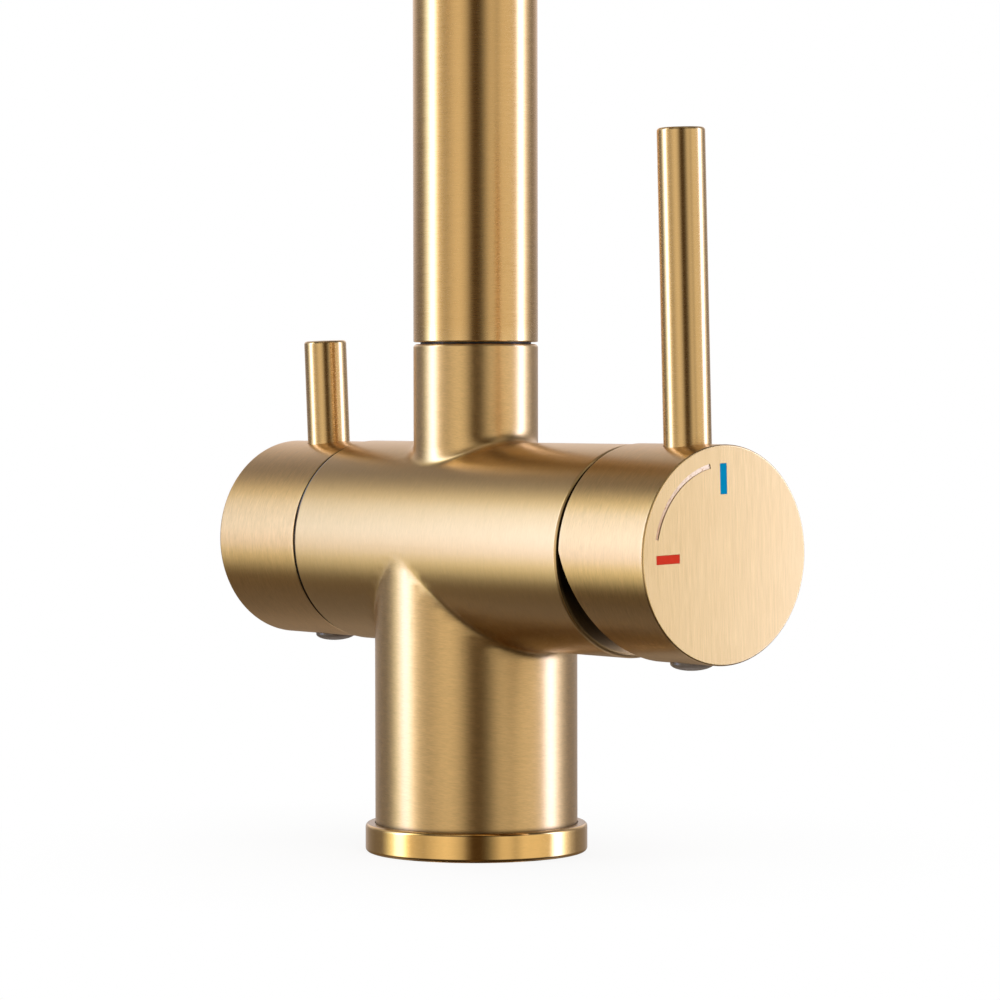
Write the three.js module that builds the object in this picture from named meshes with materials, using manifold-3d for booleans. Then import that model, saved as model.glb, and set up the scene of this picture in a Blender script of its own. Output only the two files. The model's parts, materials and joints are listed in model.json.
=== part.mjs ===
// Three way kitchen tap for filtered water, brushed brass.
//
// Millimetres, +Z up. The origin is on the column's axis, on the worktop: the flange's underside.
// +X points to the mixer knob, -X to the filter knob, and the spout reaches out to -Y.
// One Mesh is one physical piece. Pieces that turn together share a group.

import * as THREE from 'three';
import { mergeVertices } from 'three/addons/utils/BufferGeometryUtils.js';
import Module from 'manifold-3d';

const wasm = await Module();
wasm.setup();

// ---------------------------------------------------------------- driving dimensions

// Running and seating clearances.
const SEAT_GAP = 0.1;          // between two faces that rest on each other
const SLIDE_GAP = 0.15;        // radial, between a piece and the bore it sits in
const TURN_GAP = 0.35;         // radial, round plastic pieces that turn
const PIPE_GAP = 0.3;          // radial, between the spout's bore and what is fixed in it

// Body casting: a column, a cross body and a neck, in one piece.
const COLUMN_RADIUS = 22.77;
const COLUMN_WALL = 3.97;
const CROSS_RADIUS = 22.95;
const CROSS_AXIS_HEIGHT = 69.1;
const CROSS_RIGHT_LENGTH = 54.64;
const CROSS_LEFT_LENGTH = 37.94;
const NECK_RADIUS = 14.0;
const NECK_WALL = 3.0;
const NECK_TOP_HEIGHT = 114.0;
const NECK_BORE_DEPTH = 26.0;
const JUNCTION_FILLET = 4.0;
const BODY_EDGE = 0.6;

// Water ways inside the casting.
const INLET_FLOOR_HEIGHT = 42.0;
const INLET_CIRCLE_RADIUS = 8.2;
const INLET_RADIUS = 4.4;
const INLET_DEPTH = 12.0;
const INLET_SPREAD_DEG = 60;           // cold and hot inlet, each side of the cross axis
const WATERWAY_RADIUS = 2.6;

// Base flange and its gasket.
const FLANGE_RADIUS = 25.0;
const FLANGE_HEIGHT = 6.46;
const FLANGE_LIP = 2.4;
const FLANGE_EDGE = 0.6;
const FLANGE_RIM = 3.0;
const GASKET_WIDTH = 3.2;
const GASKET_THICKNESS = 1.2;

// Fixing kit under the worktop.
const WORKTOP_THICKNESS = 28.0;
const SHANK_RADIUS = 16.4;
const SHANK_WALL = 2.6;
const SHANK_ENGAGEMENT = 11.0;
const SHANK_LENGTH_BELOW = 58.0;
const RUBBER_WASHER_RADIUS = 26.0;
const RUBBER_WASHER_THICKNESS = 3.0;
const CLAMP_WASHER_RADIUS = 27.5;
const CLAMP_WASHER_THICKNESS = 2.0;
const SHANK_NUT_ACROSS_FLATS = 44.0;
const SHANK_NUT_HEIGHT = 10.0;

// Mixer cartridge, 35 mm size, lying along +X.
const CARTRIDGE_SEAT_DEPTH = 39.64;    // from the cross body's right end to the cartridge's seat
const CARTRIDGE_RADIUS = 17.4;
const CARTRIDGE_WALL = 2.7;
const CARTRIDGE_PORT_RADIUS = 2.6;
const CARTRIDGE_PORT_CIRCLE = 10.4;
const BASE_SEAL_THICKNESS = 1.4;
const BASE_THICKNESS = 4.8;
const FIXED_DISC_THICKNESS = 4.0;
const MOVING_DISC_RADIUS = 11.5;
const MOVING_DISC_THICKNESS = 3.2;
const DISC_CARRIER_THICKNESS = 4.6;
const HOUSING_LIP_THICKNESS = 1.8;
const HOUSING_LIP_WIDTH = 5.4;
const CARTRIDGE_NUT_RADIUS = 19.2;
const CARTRIDGE_NUT_THICKNESS = 3.0;
const CARTRIDGE_NUT_HEX_HEIGHT = 1.6;
const CARTRIDGE_NUT_HEX_ACROSS_FLATS = 30.0;
const CARTRIDGE_NUT_BORE_RADIUS = 12.5;
const CARTRIDGE_NUT_RECESS = 1.3;
const CARTRIDGE_THREAD_LENGTH = 8.6;

// Lever stem, its pivot and its tip.
const STEM_WIDTH = 8.0;
const STEM_PIVOT_DEPTH = 14.5;         // from the cross body's right end
const STEM_TIP_REACH = 9.2;            // from the pivot to the tip's end
const STEM_TIP_LENGTH = 4.7;
const STEM_TIP_WIDTH = 6.0;
const STEM_TIP_HEIGHT = 5.0;
const TIP_POCKET_DEPTH = 3.2;
const TIP_PLAY = 0.6;
const PIVOT_PIN_RADIUS = 1.5;
const PIVOT_PIN_LENGTH = 23.0;
const DISC_TRAVEL = 2.5;
const TURRET_SLOT_PLAY = 2.6;

// Mixer knob and lever.
const MIXER_KNOB_RADIUS = 23.15;
const MIXER_KNOB_GAP = 0.76;
const MIXER_KNOB_LENGTH = 26.77;
const MIXER_KNOB_EDGE = 0.4;
const MIXER_CAVITY_DEPTH = 10.0;
const MIXER_BOSS_RADIUS = 8.5;
const MIXER_BOSS_LENGTH = 6.0;
const MIXER_SOCKET_FLOOR = 6.6;        // metal left behind the stem's socket
const KNOB_WALL = 3.2;
const RELIEF_ANGLE_DEG = 19.9;         // slanted cut that lets the knob tilt
const RELIEF_START = 2.4;              // above the cross axis
const MIXER_PIN_RADIUS = 5.1;
const MIXER_PIN_REACH = 89.54;         // from the cross axis to the pin's end
const MIXER_PIN_SETBACK = 10.87;       // from the knob's face to the pin's axis
const MIXER_LEAN_DEG = 1.65;           // as it stands: leaning to the front

// Filter knob and lever.
const FILTER_KNOB_RADIUS = 22.7;
const FILTER_KNOB_GAP = 0.45;
const FILTER_KNOB_LENGTH = 29.49;
const FILTER_KNOB_EDGE = 1.0;
const FILTER_CAVITY_DEPTH = 9.0;
const FILTER_SOCKET_FLOOR = 7.6;
const FILTER_PIN_RADIUS = 4.93;
const FILTER_PIN_REACH = 46.34;
const FILTER_PIN_SETBACK = 14.31;
const FILTER_LEAN_DEG = 2.48;

// What both levers share.
const PIN_EDGE = 0.7;
const PIN_SINK = 2.6;                  // how deep the pin's full width stands in the knob
const PIN_THREAD_RADIUS = 2.9;
const PIN_THREAD_LENGTH = 8.0;
const GRUB_SCREW_RADIUS = 2.4;
const GRUB_SCREW_LENGTH = 8.0;
const GRUB_SCREW_HEX = 2.5;
const PLUG_RADIUS = 4.7;
const PLUG_DOME_HEIGHT = 1.55;
const PLUG_SEAT_DEPTH = 0.95;
const PLUG_STEM_LENGTH = 4.0;

// Marks on the mixer knob's face.
const MARK_INNER_RADIUS = 12.8;
const MARK_LENGTH = 6.4;
const MARK_WIDTH = 1.8;
const MARK_DEPTH = 0.4;
const MARK_GAP = 0.05;
const ARC_RADIUS = 19.15;
const ARC_START_DEG = 103;
const ARC_END_DEG = 169;
const ARC_START_WIDTH = 1.0;
const ARC_END_WIDTH = 0.5;
const ARC_DEPTH = 0.15;

// Quarter turn filter valve, lying along -X.
const VALVE_RADIUS = 9.8;
const VALVE_WALL = 2.7;
const VALVE_SEAL_THICKNESS = 1.4;
const VALVE_DISC_THICKNESS = 2.2;
const VALVE_DISC_PORT = 3.2;
const VALVE_HEX_ACROSS_FLATS = 21.0;
const VALVE_HEX_LENGTH = 5.0;
const VALVE_COUNTERBORE_RADIUS = 15.0;
const VALVE_COUNTERBORE_DEPTH = 8.0;
const VALVE_WINDOW_LENGTH = 4.0;
const SPINDLE_RADIUS = 4.0;
const SPINDLE_GUIDE_LENGTH = 4.0;

// Spout.
const SEAM_GAP = 0.46;
const SPOUT_RADIUS = 14.0;
const SPOUT_WALL = 1.4;
const ARCH_RADIUS = 98.0;
const ARCH_CENTRE_HEIGHT = 262.0;
const OUTLET_DROP = 26.0;              // straight end below the arch's centre
const SPIGOT_WALL = 2.2;
const SPIGOT_HEIGHT_IN_SPOUT = 13.0;
const SPIGOT_FOOT = 1.5;               // above the neck bore's floor
const SLIP_RING_DEPTH = 2.0;
const O_RING_RADIUS = 0.72;
const O_RING_FIRST = 5.0;
const O_RING_PITCH = 6.0;
const SNAP_RING_DEPTH = 7.0;
const SNAP_RING_THICKNESS = 1.2;
const SNAP_RING_SHOULDER = 1.0;
const SNAP_RING_OPENING_DEG = 40;
const RING_GROOVE_PLAY = 0.3;

// Filtered water inside the spout.
const INNER_TUBE_RADIUS = 4.0;
const INNER_TUBE_WALL = 1.2;
const NIPPLE_FLANGE_RADIUS = 3.7;
const NIPPLE_FLANGE_THICKNESS = 1.4;
const NIPPLE_FOOT_LENGTH = 3.0;
const NIPPLE_LENGTH = 8.0;

// Outlet.
const AERATOR_COLLAR_HEIGHT = 8.2;
const AERATOR_COLLAR_STEP = 0.1;
const AERATOR_SEAM = 0.3;
const AERATOR_SLEEVE_HEIGHT = 10.3;
const AERATOR_WALL = 1.6;
const AERATOR_LIP = 1.0;
const AERATOR_LIP_THICKNESS = 1.5;
const AERATOR_INSERT_HEIGHT = 10.9;
const AERATOR_SEAL_THICKNESS = 1.8;
const JET_RADIUS = 0.7;
const JET_COUNT = 16;
const NOZZLE_RADIUS = 5.0;
const NOZZLE_FLANGE_RADIUS = 6.6;
const NOZZLE_FLANGE_THICKNESS = 1.0;
const NOZZLE_SOCKET_DEPTH = 6.0;
const NOZZLE_TOP_HEIGHT = 16.0;        // above the outlet

// Facets of a full turn.
const LARGE_TURN = 36;
const MEDIUM_TURN = 24;
const SMALL_TURN = 16;
const TINY_TURN = 8;
const EDGE_STEPS = 2;
const FILLET_STEPS = 2;
const SPOUT_STEPS = 24;
const SPOUT_SIDES = 20;
const O_RING_SIDES = 6;
const JET_SIDES = 6;

// ---------------------------------------------------------------- materials

const material = (color, roughness, metalness) =>
  new THREE.MeshStandardMaterial({ color, roughness, metalness });

const BRUSHED_BRASS = material(0xc39a5c, 0.34, 1.0);
const RAW_BRASS = material(0xb08d4c, 0.42, 1.0);
const STEEL = material(0xb9bcc0, 0.35, 1.0);
const RUBBER = material(0x1d1d1e, 0.85, 0.0);
const GREY_PLUG = material(0x5d5a57, 0.55, 0.0);
const WHITE_PLASTIC = material(0xe9e8e2, 0.5, 0.0);
const DARK_PLASTIC = material(0x3a3f46, 0.5, 0.0);
const CERAMIC = material(0xf1efe9, 0.25, 0.0);
const BLUE_ENAMEL = material(0x0a86bd, 0.4, 0.0);
const RED_ENAMEL = material(0xd0302b, 0.4, 0.0);

// ---------------------------------------------------------------- solid helpers

const radians = THREE.MathUtils.degToRad;

/** Signed volume of an indexed geometry: negative where its faces point in. */
function signedVolume(positions, triangles) {
  const corner = [0, 1, 2].map(() => new THREE.Vector3());
  let sixfold = 0;
  for (let i = 0; i < triangles.length; i += 3) {
    corner.forEach((point, k) => point.fromArray(positions, 3 * triangles[i + k]));
    sixfold += corner[0].dot(corner[1].cross(corner[2]));
  }
  return sixfold / 6;
}

/** A triangle surface as a solid, with shared corners merged and its faces pointing out. */
function solid(geometry) {
  geometry.deleteAttribute('normal');
  geometry.deleteAttribute('uv');
  const merged = mergeVertices(geometry, 1e-5);
  const vertProperties = new Float32Array(merged.attributes.position.array);
  const triangles = [];
  const index = merged.index.array;
  for (let i = 0; i < index.length; i += 3) {
    const [a, b, c] = [index[i], index[i + 1], index[i + 2]];
    if (a !== b && b !== c && c !== a) triangles.push(a, b, c);
  }
  if (signedVolume(vertProperties, triangles) < 0) triangles.reverse();
  const triVerts = new Uint32Array(triangles);
  return new wasm.Manifold(new wasm.Mesh({ numProp: 3, vertProperties, triVerts }));
}

/** A solid back as a triangle surface. */
function geometryOf(shape) {
  const mesh = shape.getMesh();
  const geometry = new THREE.BufferGeometry();
  geometry.setAttribute('position', new THREE.BufferAttribute(mesh.vertProperties, 3));
  geometry.setIndex(new THREE.BufferAttribute(mesh.triVerts, 1));
  geometry.computeVertexNormals();
  return geometry;
}

const join = (...shapes) => shapes.reduce((sum, shape) => sum.add(shape));
const cut = (base, ...tools) => tools.reduce((rest, tool) => rest.subtract(tool), base);

/** Turned piece about Z. The profile is a list of [radius, height] from axis to axis. */
function turned(profile, segments = MEDIUM_TURN) {
  const outline = profile.map(([radius, height]) => new THREE.Vector2(radius, height));
  const geometry = new THREE.LatheGeometry(outline, segments);
  geometry.rotateX(Math.PI / 2);
  return solid(geometry);
}

/** Turned ring about Z: the profile closes on itself. */
const turnedRing = (profile, segments) => turned([...profile, profile[0]], segments);

/** Plain round rod about Z between two heights. */
const rod = (radius, low, high, segments = MEDIUM_TURN) =>
  turned([[0, low], [radius, low], [radius, high], [0, high]], segments);

/** Plain ring about Z between two heights. */
const ring = (outer, inner, low, high, segments = MEDIUM_TURN) =>
  turnedRing([[inner, low], [outer, low], [outer, high], [inner, high]], segments);

/** Hexagonal bar about Z between two heights. */
function hexBar(acrossFlats, low, high) {
  const geometry = new THREE.CylinderGeometry(1, 1, high - low, 6);
  geometry.scale(acrossFlats / Math.sqrt(3), 1, acrossFlats / Math.sqrt(3));
  geometry.rotateX(Math.PI / 2);
  geometry.translate(0, 0, (low + high) / 2);
  return solid(geometry);
}

/** Box between two corners. */
function box(low, high) {
  const size = high.map((value, k) => value - low[k]);
  const geometry = new THREE.BoxGeometry(...size);
  geometry.translate(...low.map((value, k) => value + size[k] / 2));
  return solid(geometry);
}

const moved = (shape, x, y, z) => shape.translate([x, y, z]);

/** Lays a shape made about Z along +X: its height becomes x. */
const alongX = (shape) => shape.rotate([0, 90, 0]);

/** Lays a shape made about Z along -X: its height becomes -x. */
const alongMinusX = (shape) => shape.rotate([0, -90, 0]);

/** Quarter round of an edge, from one side of the corner to the other, as [radius, height] points. */
function roundedCorner(radius, height, edge, fromDeg) {
  const points = [];
  for (let step = 0; step <= EDGE_STEPS; step += 1) {
    const angle = radians(fromDeg + (90 * step) / EDGE_STEPS);
    points.push([radius + edge * Math.cos(angle), height + edge * Math.sin(angle)]);
  }
  return points;
}

/** Solid shell of closed sections: the loop goes round, and each section is a closed outline. */
function closedLoop(sections) {
  const around = sections.length;
  const across = sections[0].length;
  const positions = sections.flat().flatMap((point) => point.toArray());
  const index = [];
  for (let i = 0; i < around; i += 1) {
    for (let j = 0; j < across; j += 1) {
      const [nextI, nextJ] = [(i + 1) % around, (j + 1) % across];
      const [a, b] = [i * across + j, nextI * across + j];
      const [c, d] = [nextI * across + nextJ, i * across + nextJ];
      index.push(a, b, c, a, c, d);
    }
  }
  const geometry = new THREE.BufferGeometry();
  geometry.setAttribute('position', new THREE.Float32BufferAttribute(positions, 3));
  geometry.setIndex(index);
  return solid(geometry);
}

// ---------------------------------------------------------------- scene graph

const tap = new THREE.Group();
const crossAxis = new THREE.Group();
crossAxis.position.z = CROSS_AXIS_HEIGHT;
const mixerLean = new THREE.Group();
mixerLean.rotation.x = radians(MIXER_LEAN_DEG);
const filterLean = new THREE.Group();
filterLean.rotation.x = radians(FILTER_LEAN_DEG);
const outlet = new THREE.Group();
outlet.position.set(0, -2 * ARCH_RADIUS, ARCH_CENTRE_HEIGHT - OUTLET_DROP);
crossAxis.add(mixerLean, filterLean);
tap.add(crossAxis, outlet);

/** Adds one named piece to a group. */
function addPiece(group, name, shape, surface) {
  const mesh = new THREE.Mesh(geometryOf(shape), surface);
  mesh.name = name;
  group.add(mesh);
}

// ---------------------------------------------------------------- shared levels

const columnFoot = FLANGE_LIP + SEAT_GAP;
const columnBore = COLUMN_RADIUS - COLUMN_WALL;
const threadBore = SHANK_RADIUS + SLIDE_GAP;
const threadTop = columnFoot + SHANK_ENGAGEMENT + SEAT_GAP;
const neckBore = NECK_RADIUS - NECK_WALL;
const neckFloor = NECK_TOP_HEIGHT - NECK_BORE_DEPTH;
const spoutBore = SPOUT_RADIUS - SPOUT_WALL;
const spoutFoot = NECK_TOP_HEIGHT + SEAM_GAP;
const outletHeight = ARCH_CENTRE_HEIGHT - OUTLET_DROP;
const slipRingOuter = spoutBore - SEAT_GAP;
const slipRingFloor = NECK_TOP_HEIGHT - SLIP_RING_DEPTH;
const spigotOuter = neckBore - SLIDE_GAP;
const snapRingHeight = NECK_TOP_HEIGHT - SNAP_RING_DEPTH;
const snapGrooveOuter = neckBore + SNAP_RING_SHOULDER;

const mixerSeat = CROSS_RIGHT_LENGTH - CARTRIDGE_SEAT_DEPTH;
const cartridgeBore = CARTRIDGE_RADIUS + SLIDE_GAP;
const cartridgeInner = CARTRIDGE_RADIUS - CARTRIDGE_WALL;
const baseStart = mixerSeat + BASE_SEAL_THICKNESS + 2 * SEAT_GAP;
const fixedDiscStart = baseStart + BASE_THICKNESS + SEAT_GAP;
const movingDiscStart = fixedDiscStart + FIXED_DISC_THICKNESS + SEAT_GAP;
const carrierStart = movingDiscStart + MOVING_DISC_THICKNESS + SEAT_GAP;
const carrierEnd = carrierStart + DISC_CARRIER_THICKNESS;
const nutEnd = CROSS_RIGHT_LENGTH - CARTRIDGE_NUT_RECESS;
const nutShoulder = nutEnd - CARTRIDGE_NUT_HEX_HEIGHT;
const nutStart = nutShoulder - CARTRIDGE_NUT_THICKNESS;
const lipEnd = nutStart - SEAT_GAP;
const lipStart = lipEnd - HOUSING_LIP_THICKNESS;
const turretStart = carrierEnd + 3 * SEAT_GAP;
const turretEnd = lipStart - SEAT_GAP;
const pivotX = CROSS_RIGHT_LENGTH - STEM_PIVOT_DEPTH;

const mixerKnobStart = CROSS_RIGHT_LENGTH + MIXER_KNOB_GAP;
const mixerKnobEnd = mixerKnobStart + MIXER_KNOB_LENGTH;
const mixerPinX = mixerKnobEnd - MIXER_PIN_SETBACK;
const mixerSocketEnd = mixerKnobEnd - MIXER_SOCKET_FLOOR;

const filterSeat = NECK_RADIUS;
const valveBore = VALVE_RADIUS + SLIDE_GAP;
const valveInner = VALVE_RADIUS - VALVE_WALL;
const valveStart = filterSeat + VALVE_SEAL_THICKNESS + 2 * SEAT_GAP;
const valveMovingStart = valveStart + VALVE_DISC_THICKNESS + SEAT_GAP;
const spindleStart = valveMovingStart + VALVE_DISC_THICKNESS + SEAT_GAP;
const valveHexStart = CROSS_LEFT_LENGTH - VALVE_COUNTERBORE_DEPTH + SEAT_GAP;
const valveHexEnd = valveHexStart + VALVE_HEX_LENGTH;
const filterKnobStart = CROSS_LEFT_LENGTH + FILTER_KNOB_GAP;
const filterKnobEnd = filterKnobStart + FILTER_KNOB_LENGTH;
const filterPinX = filterKnobEnd - FILTER_PIN_SETBACK;
const filterSocketEnd = filterKnobEnd - FILTER_SOCKET_FLOOR;
const valveWindowX = spindleStart + VALVE_WINDOW_LENGTH / 2;

// ---------------------------------------------------------------- body casting

/**
 * Rolled fillet where an upright cylinder meets the cross body, above it (side 1) or below (side -1).
 * The rolling ball's centre keeps one fillet radius from both walls, and each section is the arc that
 * it leaves, closed off inside the metal.
 */
function junctionFillet(uprightRadius, side) {
  const sections = [];
  const depth = JUNCTION_FILLET + BODY_EDGE;
  for (let step = 0; step < LARGE_TURN; step += 1) {
    const turn = (2 * Math.PI * step) / LARGE_TURN;
    const outward = new THREE.Vector3(Math.cos(turn), Math.sin(turn), 0);
    const centre = outward.clone().multiplyScalar(uprightRadius + JUNCTION_FILLET);
    const reach = (CROSS_RADIUS + JUNCTION_FILLET) ** 2 - centre.y ** 2;
    centre.z = side * Math.sqrt(Math.max(reach, 0));
    const toUpright = outward.clone().negate();
    const toCross = new THREE.Vector3(0, -centre.y, -centre.z).normalize();
    const section = [centre.clone().addScaledVector(toUpright, JUNCTION_FILLET + depth)];
    for (let k = 0; k <= FILLET_STEPS; k += 1) {
      const ray = toUpright.clone().lerp(toCross, k / FILLET_STEPS).normalize();
      section.push(centre.clone().addScaledVector(ray, JUNCTION_FILLET));
    }
    section.push(centre.clone().addScaledVector(toCross, JUNCTION_FILLET + depth));
    sections.push(section);
  }
  return moved(closedLoop(sections), 0, 0, CROSS_AXIS_HEIGHT);
}

/** Round channel between two points that share two of their coordinates. */
function channel(from, to, radius) {
  const start = new THREE.Vector3(...from);
  const way = new THREE.Vector3(...to).sub(start);
  const geometry = new THREE.CylinderGeometry(radius, radius, way.length(), TINY_TURN);
  geometry.translate(0, way.length() / 2, 0);
  geometry.applyQuaternion(
    new THREE.Quaternion().setFromUnitVectors(new THREE.Vector3(0, 1, 0), way.normalize()),
  );
  geometry.translate(...start.toArray());
  return solid(geometry);
}

/** Centre of one inlet on the inlet circle. */
const inletPoint = (deg) => [
  INLET_CIRCLE_RADIUS * Math.cos(radians(deg)),
  INLET_CIRCLE_RADIUS * Math.sin(radians(deg)),
];
const COLD_INLET = inletPoint(-INLET_SPREAD_DEG);
const HOT_INLET = inletPoint(INLET_SPREAD_DEG);
const FILTERED_INLET = inletPoint(180);

/** Height of the cartridge's two inlet ports and of its outlet port, at the seat. */
const portRise = (y) => Math.sqrt(Math.max(CARTRIDGE_PORT_CIRCLE ** 2 - y ** 2, 1));
const inletPortHeight = CROSS_AXIS_HEIGHT - portRise(HOT_INLET[1]);
const outletPortHeight = CROSS_AXIS_HEIGHT + CARTRIDGE_PORT_CIRCLE;

/** Every channel that the casting holds. */
function waterways() {
  const overlap = WATERWAY_RADIUS;
  const inletTop = INLET_FLOOR_HEIGHT + INLET_DEPTH;
  const cuts = [];
  const drill = (from, to) => cuts.push(channel(from, to, WATERWAY_RADIUS));
  for (const [x, y] of [COLD_INLET, HOT_INLET, FILTERED_INLET]) {
    cuts.push(channel([x, y, INLET_FLOOR_HEIGHT - overlap], [x, y, inletTop], INLET_RADIUS));
  }
  for (const [x, y] of [COLD_INLET, HOT_INLET]) {
    const top = inletPortHeight + overlap;
    drill([x, y, inletTop - overlap], [x, y, Math.max(top, inletTop)]);
    drill([x, y, inletPortHeight], [mixerSeat + overlap, y, inletPortHeight]);
  }
  const mixedX = neckBore - WATERWAY_RADIUS - SEAT_GAP;
  drill([mixedX, 0, outletPortHeight], [mixerSeat + overlap, 0, outletPortHeight]);
  drill([mixedX, 0, outletPortHeight - overlap], [mixedX, 0, neckFloor + overlap]);

  const [filteredX] = FILTERED_INLET;
  const filteredTop = CROSS_AXIS_HEIGHT + overlap;
  drill([filteredX, 0, inletTop - overlap], [filteredX, 0, filteredTop]);
  drill([filteredX, 0, CROSS_AXIS_HEIGHT], [-filterSeat - overlap, 0, CROSS_AXIS_HEIGHT]);
  const crossoverHeight = neckFloor - NIPPLE_FOOT_LENGTH - WATERWAY_RADIUS;
  const windowX = -valveWindowX;
  drill([windowX, 0, CROSS_AXIS_HEIGHT], [windowX, 0, crossoverHeight + overlap / 2]);
  drill([windowX, 0, crossoverHeight], [overlap / 2, 0, crossoverHeight]);
  const nippleBore = INNER_TUBE_RADIUS - INNER_TUBE_WALL;
  cuts.push(channel([0, 0, crossoverHeight], [0, 0, neckFloor + overlap], nippleBore));
  return cuts;
}

function tapBody() {
  const column = rod(COLUMN_RADIUS, columnFoot, CROSS_AXIS_HEIGHT, LARGE_TURN);
  const neck = turned([
    [0, CROSS_AXIS_HEIGHT],
    [NECK_RADIUS, CROSS_AXIS_HEIGHT],
    ...roundedCorner(NECK_RADIUS - BODY_EDGE, NECK_TOP_HEIGHT - BODY_EDGE, BODY_EDGE, 0),
    [0, NECK_TOP_HEIGHT],
  ], LARGE_TURN);
  const cross = alongX(turned([
    [0, -CROSS_LEFT_LENGTH],
    ...roundedCorner(CROSS_RADIUS - BODY_EDGE, BODY_EDGE - CROSS_LEFT_LENGTH, BODY_EDGE, -90),
    ...roundedCorner(CROSS_RADIUS - BODY_EDGE, CROSS_RIGHT_LENGTH - BODY_EDGE, BODY_EDGE, 0),
    [0, CROSS_RIGHT_LENGTH],
  ], LARGE_TURN));
  const outside = join(
    column,
    neck,
    moved(cross, 0, 0, CROSS_AXIS_HEIGHT),
    junctionFillet(NECK_RADIUS, 1),
    junctionFillet(COLUMN_RADIUS, -1),
  );

  const past = CROSS_RADIUS;
  const threadX = CROSS_RIGHT_LENGTH - CARTRIDGE_THREAD_LENGTH;
  const counterboreX = CROSS_LEFT_LENGTH - VALVE_COUNTERBORE_DEPTH;
  const mixerBores = join(
    rod(cartridgeBore, mixerSeat, CROSS_RIGHT_LENGTH + past, LARGE_TURN),
    rod(CARTRIDGE_NUT_RADIUS + SLIDE_GAP, threadX, CROSS_RIGHT_LENGTH + past, LARGE_TURN),
  );
  const filterBores = join(
    rod(valveBore, filterSeat, CROSS_LEFT_LENGTH + past, SMALL_TURN),
    rod(VALVE_COUNTERBORE_RADIUS, counterboreX, CROSS_LEFT_LENGTH + past, MEDIUM_TURN),
  );
  const neckBores = join(
    rod(neckBore, neckFloor, NECK_TOP_HEIGHT + past, LARGE_TURN),
    rod(slipRingOuter + SLIDE_GAP, slipRingFloor, NECK_TOP_HEIGHT + past, LARGE_TURN),
    rod(
      snapGrooveOuter,
      snapRingHeight - RING_GROOVE_PLAY,
      snapRingHeight + SNAP_RING_THICKNESS + RING_GROOVE_PLAY,
      LARGE_TURN,
    ),
  );
  const columnBores = join(
    rod(threadBore, columnFoot - past, threadTop, MEDIUM_TURN),
    rod(columnBore, threadTop, INLET_FLOOR_HEIGHT, MEDIUM_TURN),
  );
  return cut(
    outside,
    moved(alongX(mixerBores), 0, 0, CROSS_AXIS_HEIGHT),
    moved(alongMinusX(filterBores), 0, 0, CROSS_AXIS_HEIGHT),
    neckBores,
    columnBores,
    ...waterways(),
  );
}

addPiece(tap, 'tap_body', tapBody(), BRUSHED_BRASS);

// ---------------------------------------------------------------- flange and fixing kit

function baseFlange() {
  const seat = COLUMN_RADIUS + SLIDE_GAP;
  const hole = threadBore + SLIDE_GAP;
  const grooveOuter = FLANGE_RADIUS - FLANGE_RIM;
  const grooveInner = grooveOuter - GASKET_WIDTH;
  const body = turnedRing([
    [hole, 0],
    ...roundedCorner(FLANGE_RADIUS - FLANGE_EDGE, FLANGE_EDGE, FLANGE_EDGE, -90),
    ...roundedCorner(FLANGE_RADIUS - FLANGE_EDGE, FLANGE_HEIGHT - FLANGE_EDGE, FLANGE_EDGE, 0),
    [seat, FLANGE_HEIGHT],
    [seat, FLANGE_LIP],
    [hole, FLANGE_LIP],
  ], LARGE_TURN);
  const groove = ring(grooveOuter, grooveInner, -GASKET_THICKNESS, GASKET_THICKNESS + SEAT_GAP, LARGE_TURN);
  return cut(body, groove);
}

function deckGasket() {
  const outer = FLANGE_RADIUS - FLANGE_RIM - SLIDE_GAP;
  const inner = FLANGE_RADIUS - FLANGE_RIM - GASKET_WIDTH + SLIDE_GAP;
  return ring(outer, inner, 0, GASKET_THICKNESS, LARGE_TURN);
}

const shankBore = SHANK_RADIUS - SHANK_WALL;
const rubberTop = -WORKTOP_THICKNESS;
const clampTop = rubberTop - RUBBER_WASHER_THICKNESS - SEAT_GAP;
const nutTop = clampTop - CLAMP_WASHER_THICKNESS - SEAT_GAP;
const shankTop = columnFoot + SHANK_ENGAGEMENT;

addPiece(tap, 'base_flange', baseFlange(), BRUSHED_BRASS);
addPiece(tap, 'deck_gasket', deckGasket(), RUBBER);
addPiece(tap, 'mounting_shank', ring(SHANK_RADIUS, shankBore, -SHANK_LENGTH_BELOW, shankTop), RAW_BRASS);
addPiece(
  tap,
  'rubber_washer',
  ring(RUBBER_WASHER_RADIUS, threadBore, rubberTop - RUBBER_WASHER_THICKNESS, rubberTop),
  RUBBER,
);
addPiece(
  tap,
  'clamp_washer',
  ring(CLAMP_WASHER_RADIUS, threadBore, clampTop - CLAMP_WASHER_THICKNESS, clampTop),
  STEEL,
);
addPiece(
  tap,
  'shank_nut',
  cut(
    hexBar(SHANK_NUT_ACROSS_FLATS, nutTop - SHANK_NUT_HEIGHT, nutTop),
    rod(threadBore, nutTop - 2 * SHANK_NUT_HEIGHT, nutTop + SHANK_NUT_HEIGHT),
  ),
  RAW_BRASS,
);

// ---------------------------------------------------------------- mixer cartridge, fixed pieces

/** Flat disc of the cartridge with its three ports, between two distances along the cross axis. */
function portedDisc(radius, low, high) {
  const ports = [[HOT_INLET[1], inletPortHeight], [COLD_INLET[1], inletPortHeight], [0, outletPortHeight]];
  const tools = ports.map(([y, height]) =>
    moved(
      alongX(rod(CARTRIDGE_PORT_RADIUS, low - WATERWAY_RADIUS, high + WATERWAY_RADIUS, TINY_TURN)),
      0,
      y,
      height - CROSS_AXIS_HEIGHT,
    ));
  return cut(alongX(rod(radius, low, high)), ...tools);
}

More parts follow.
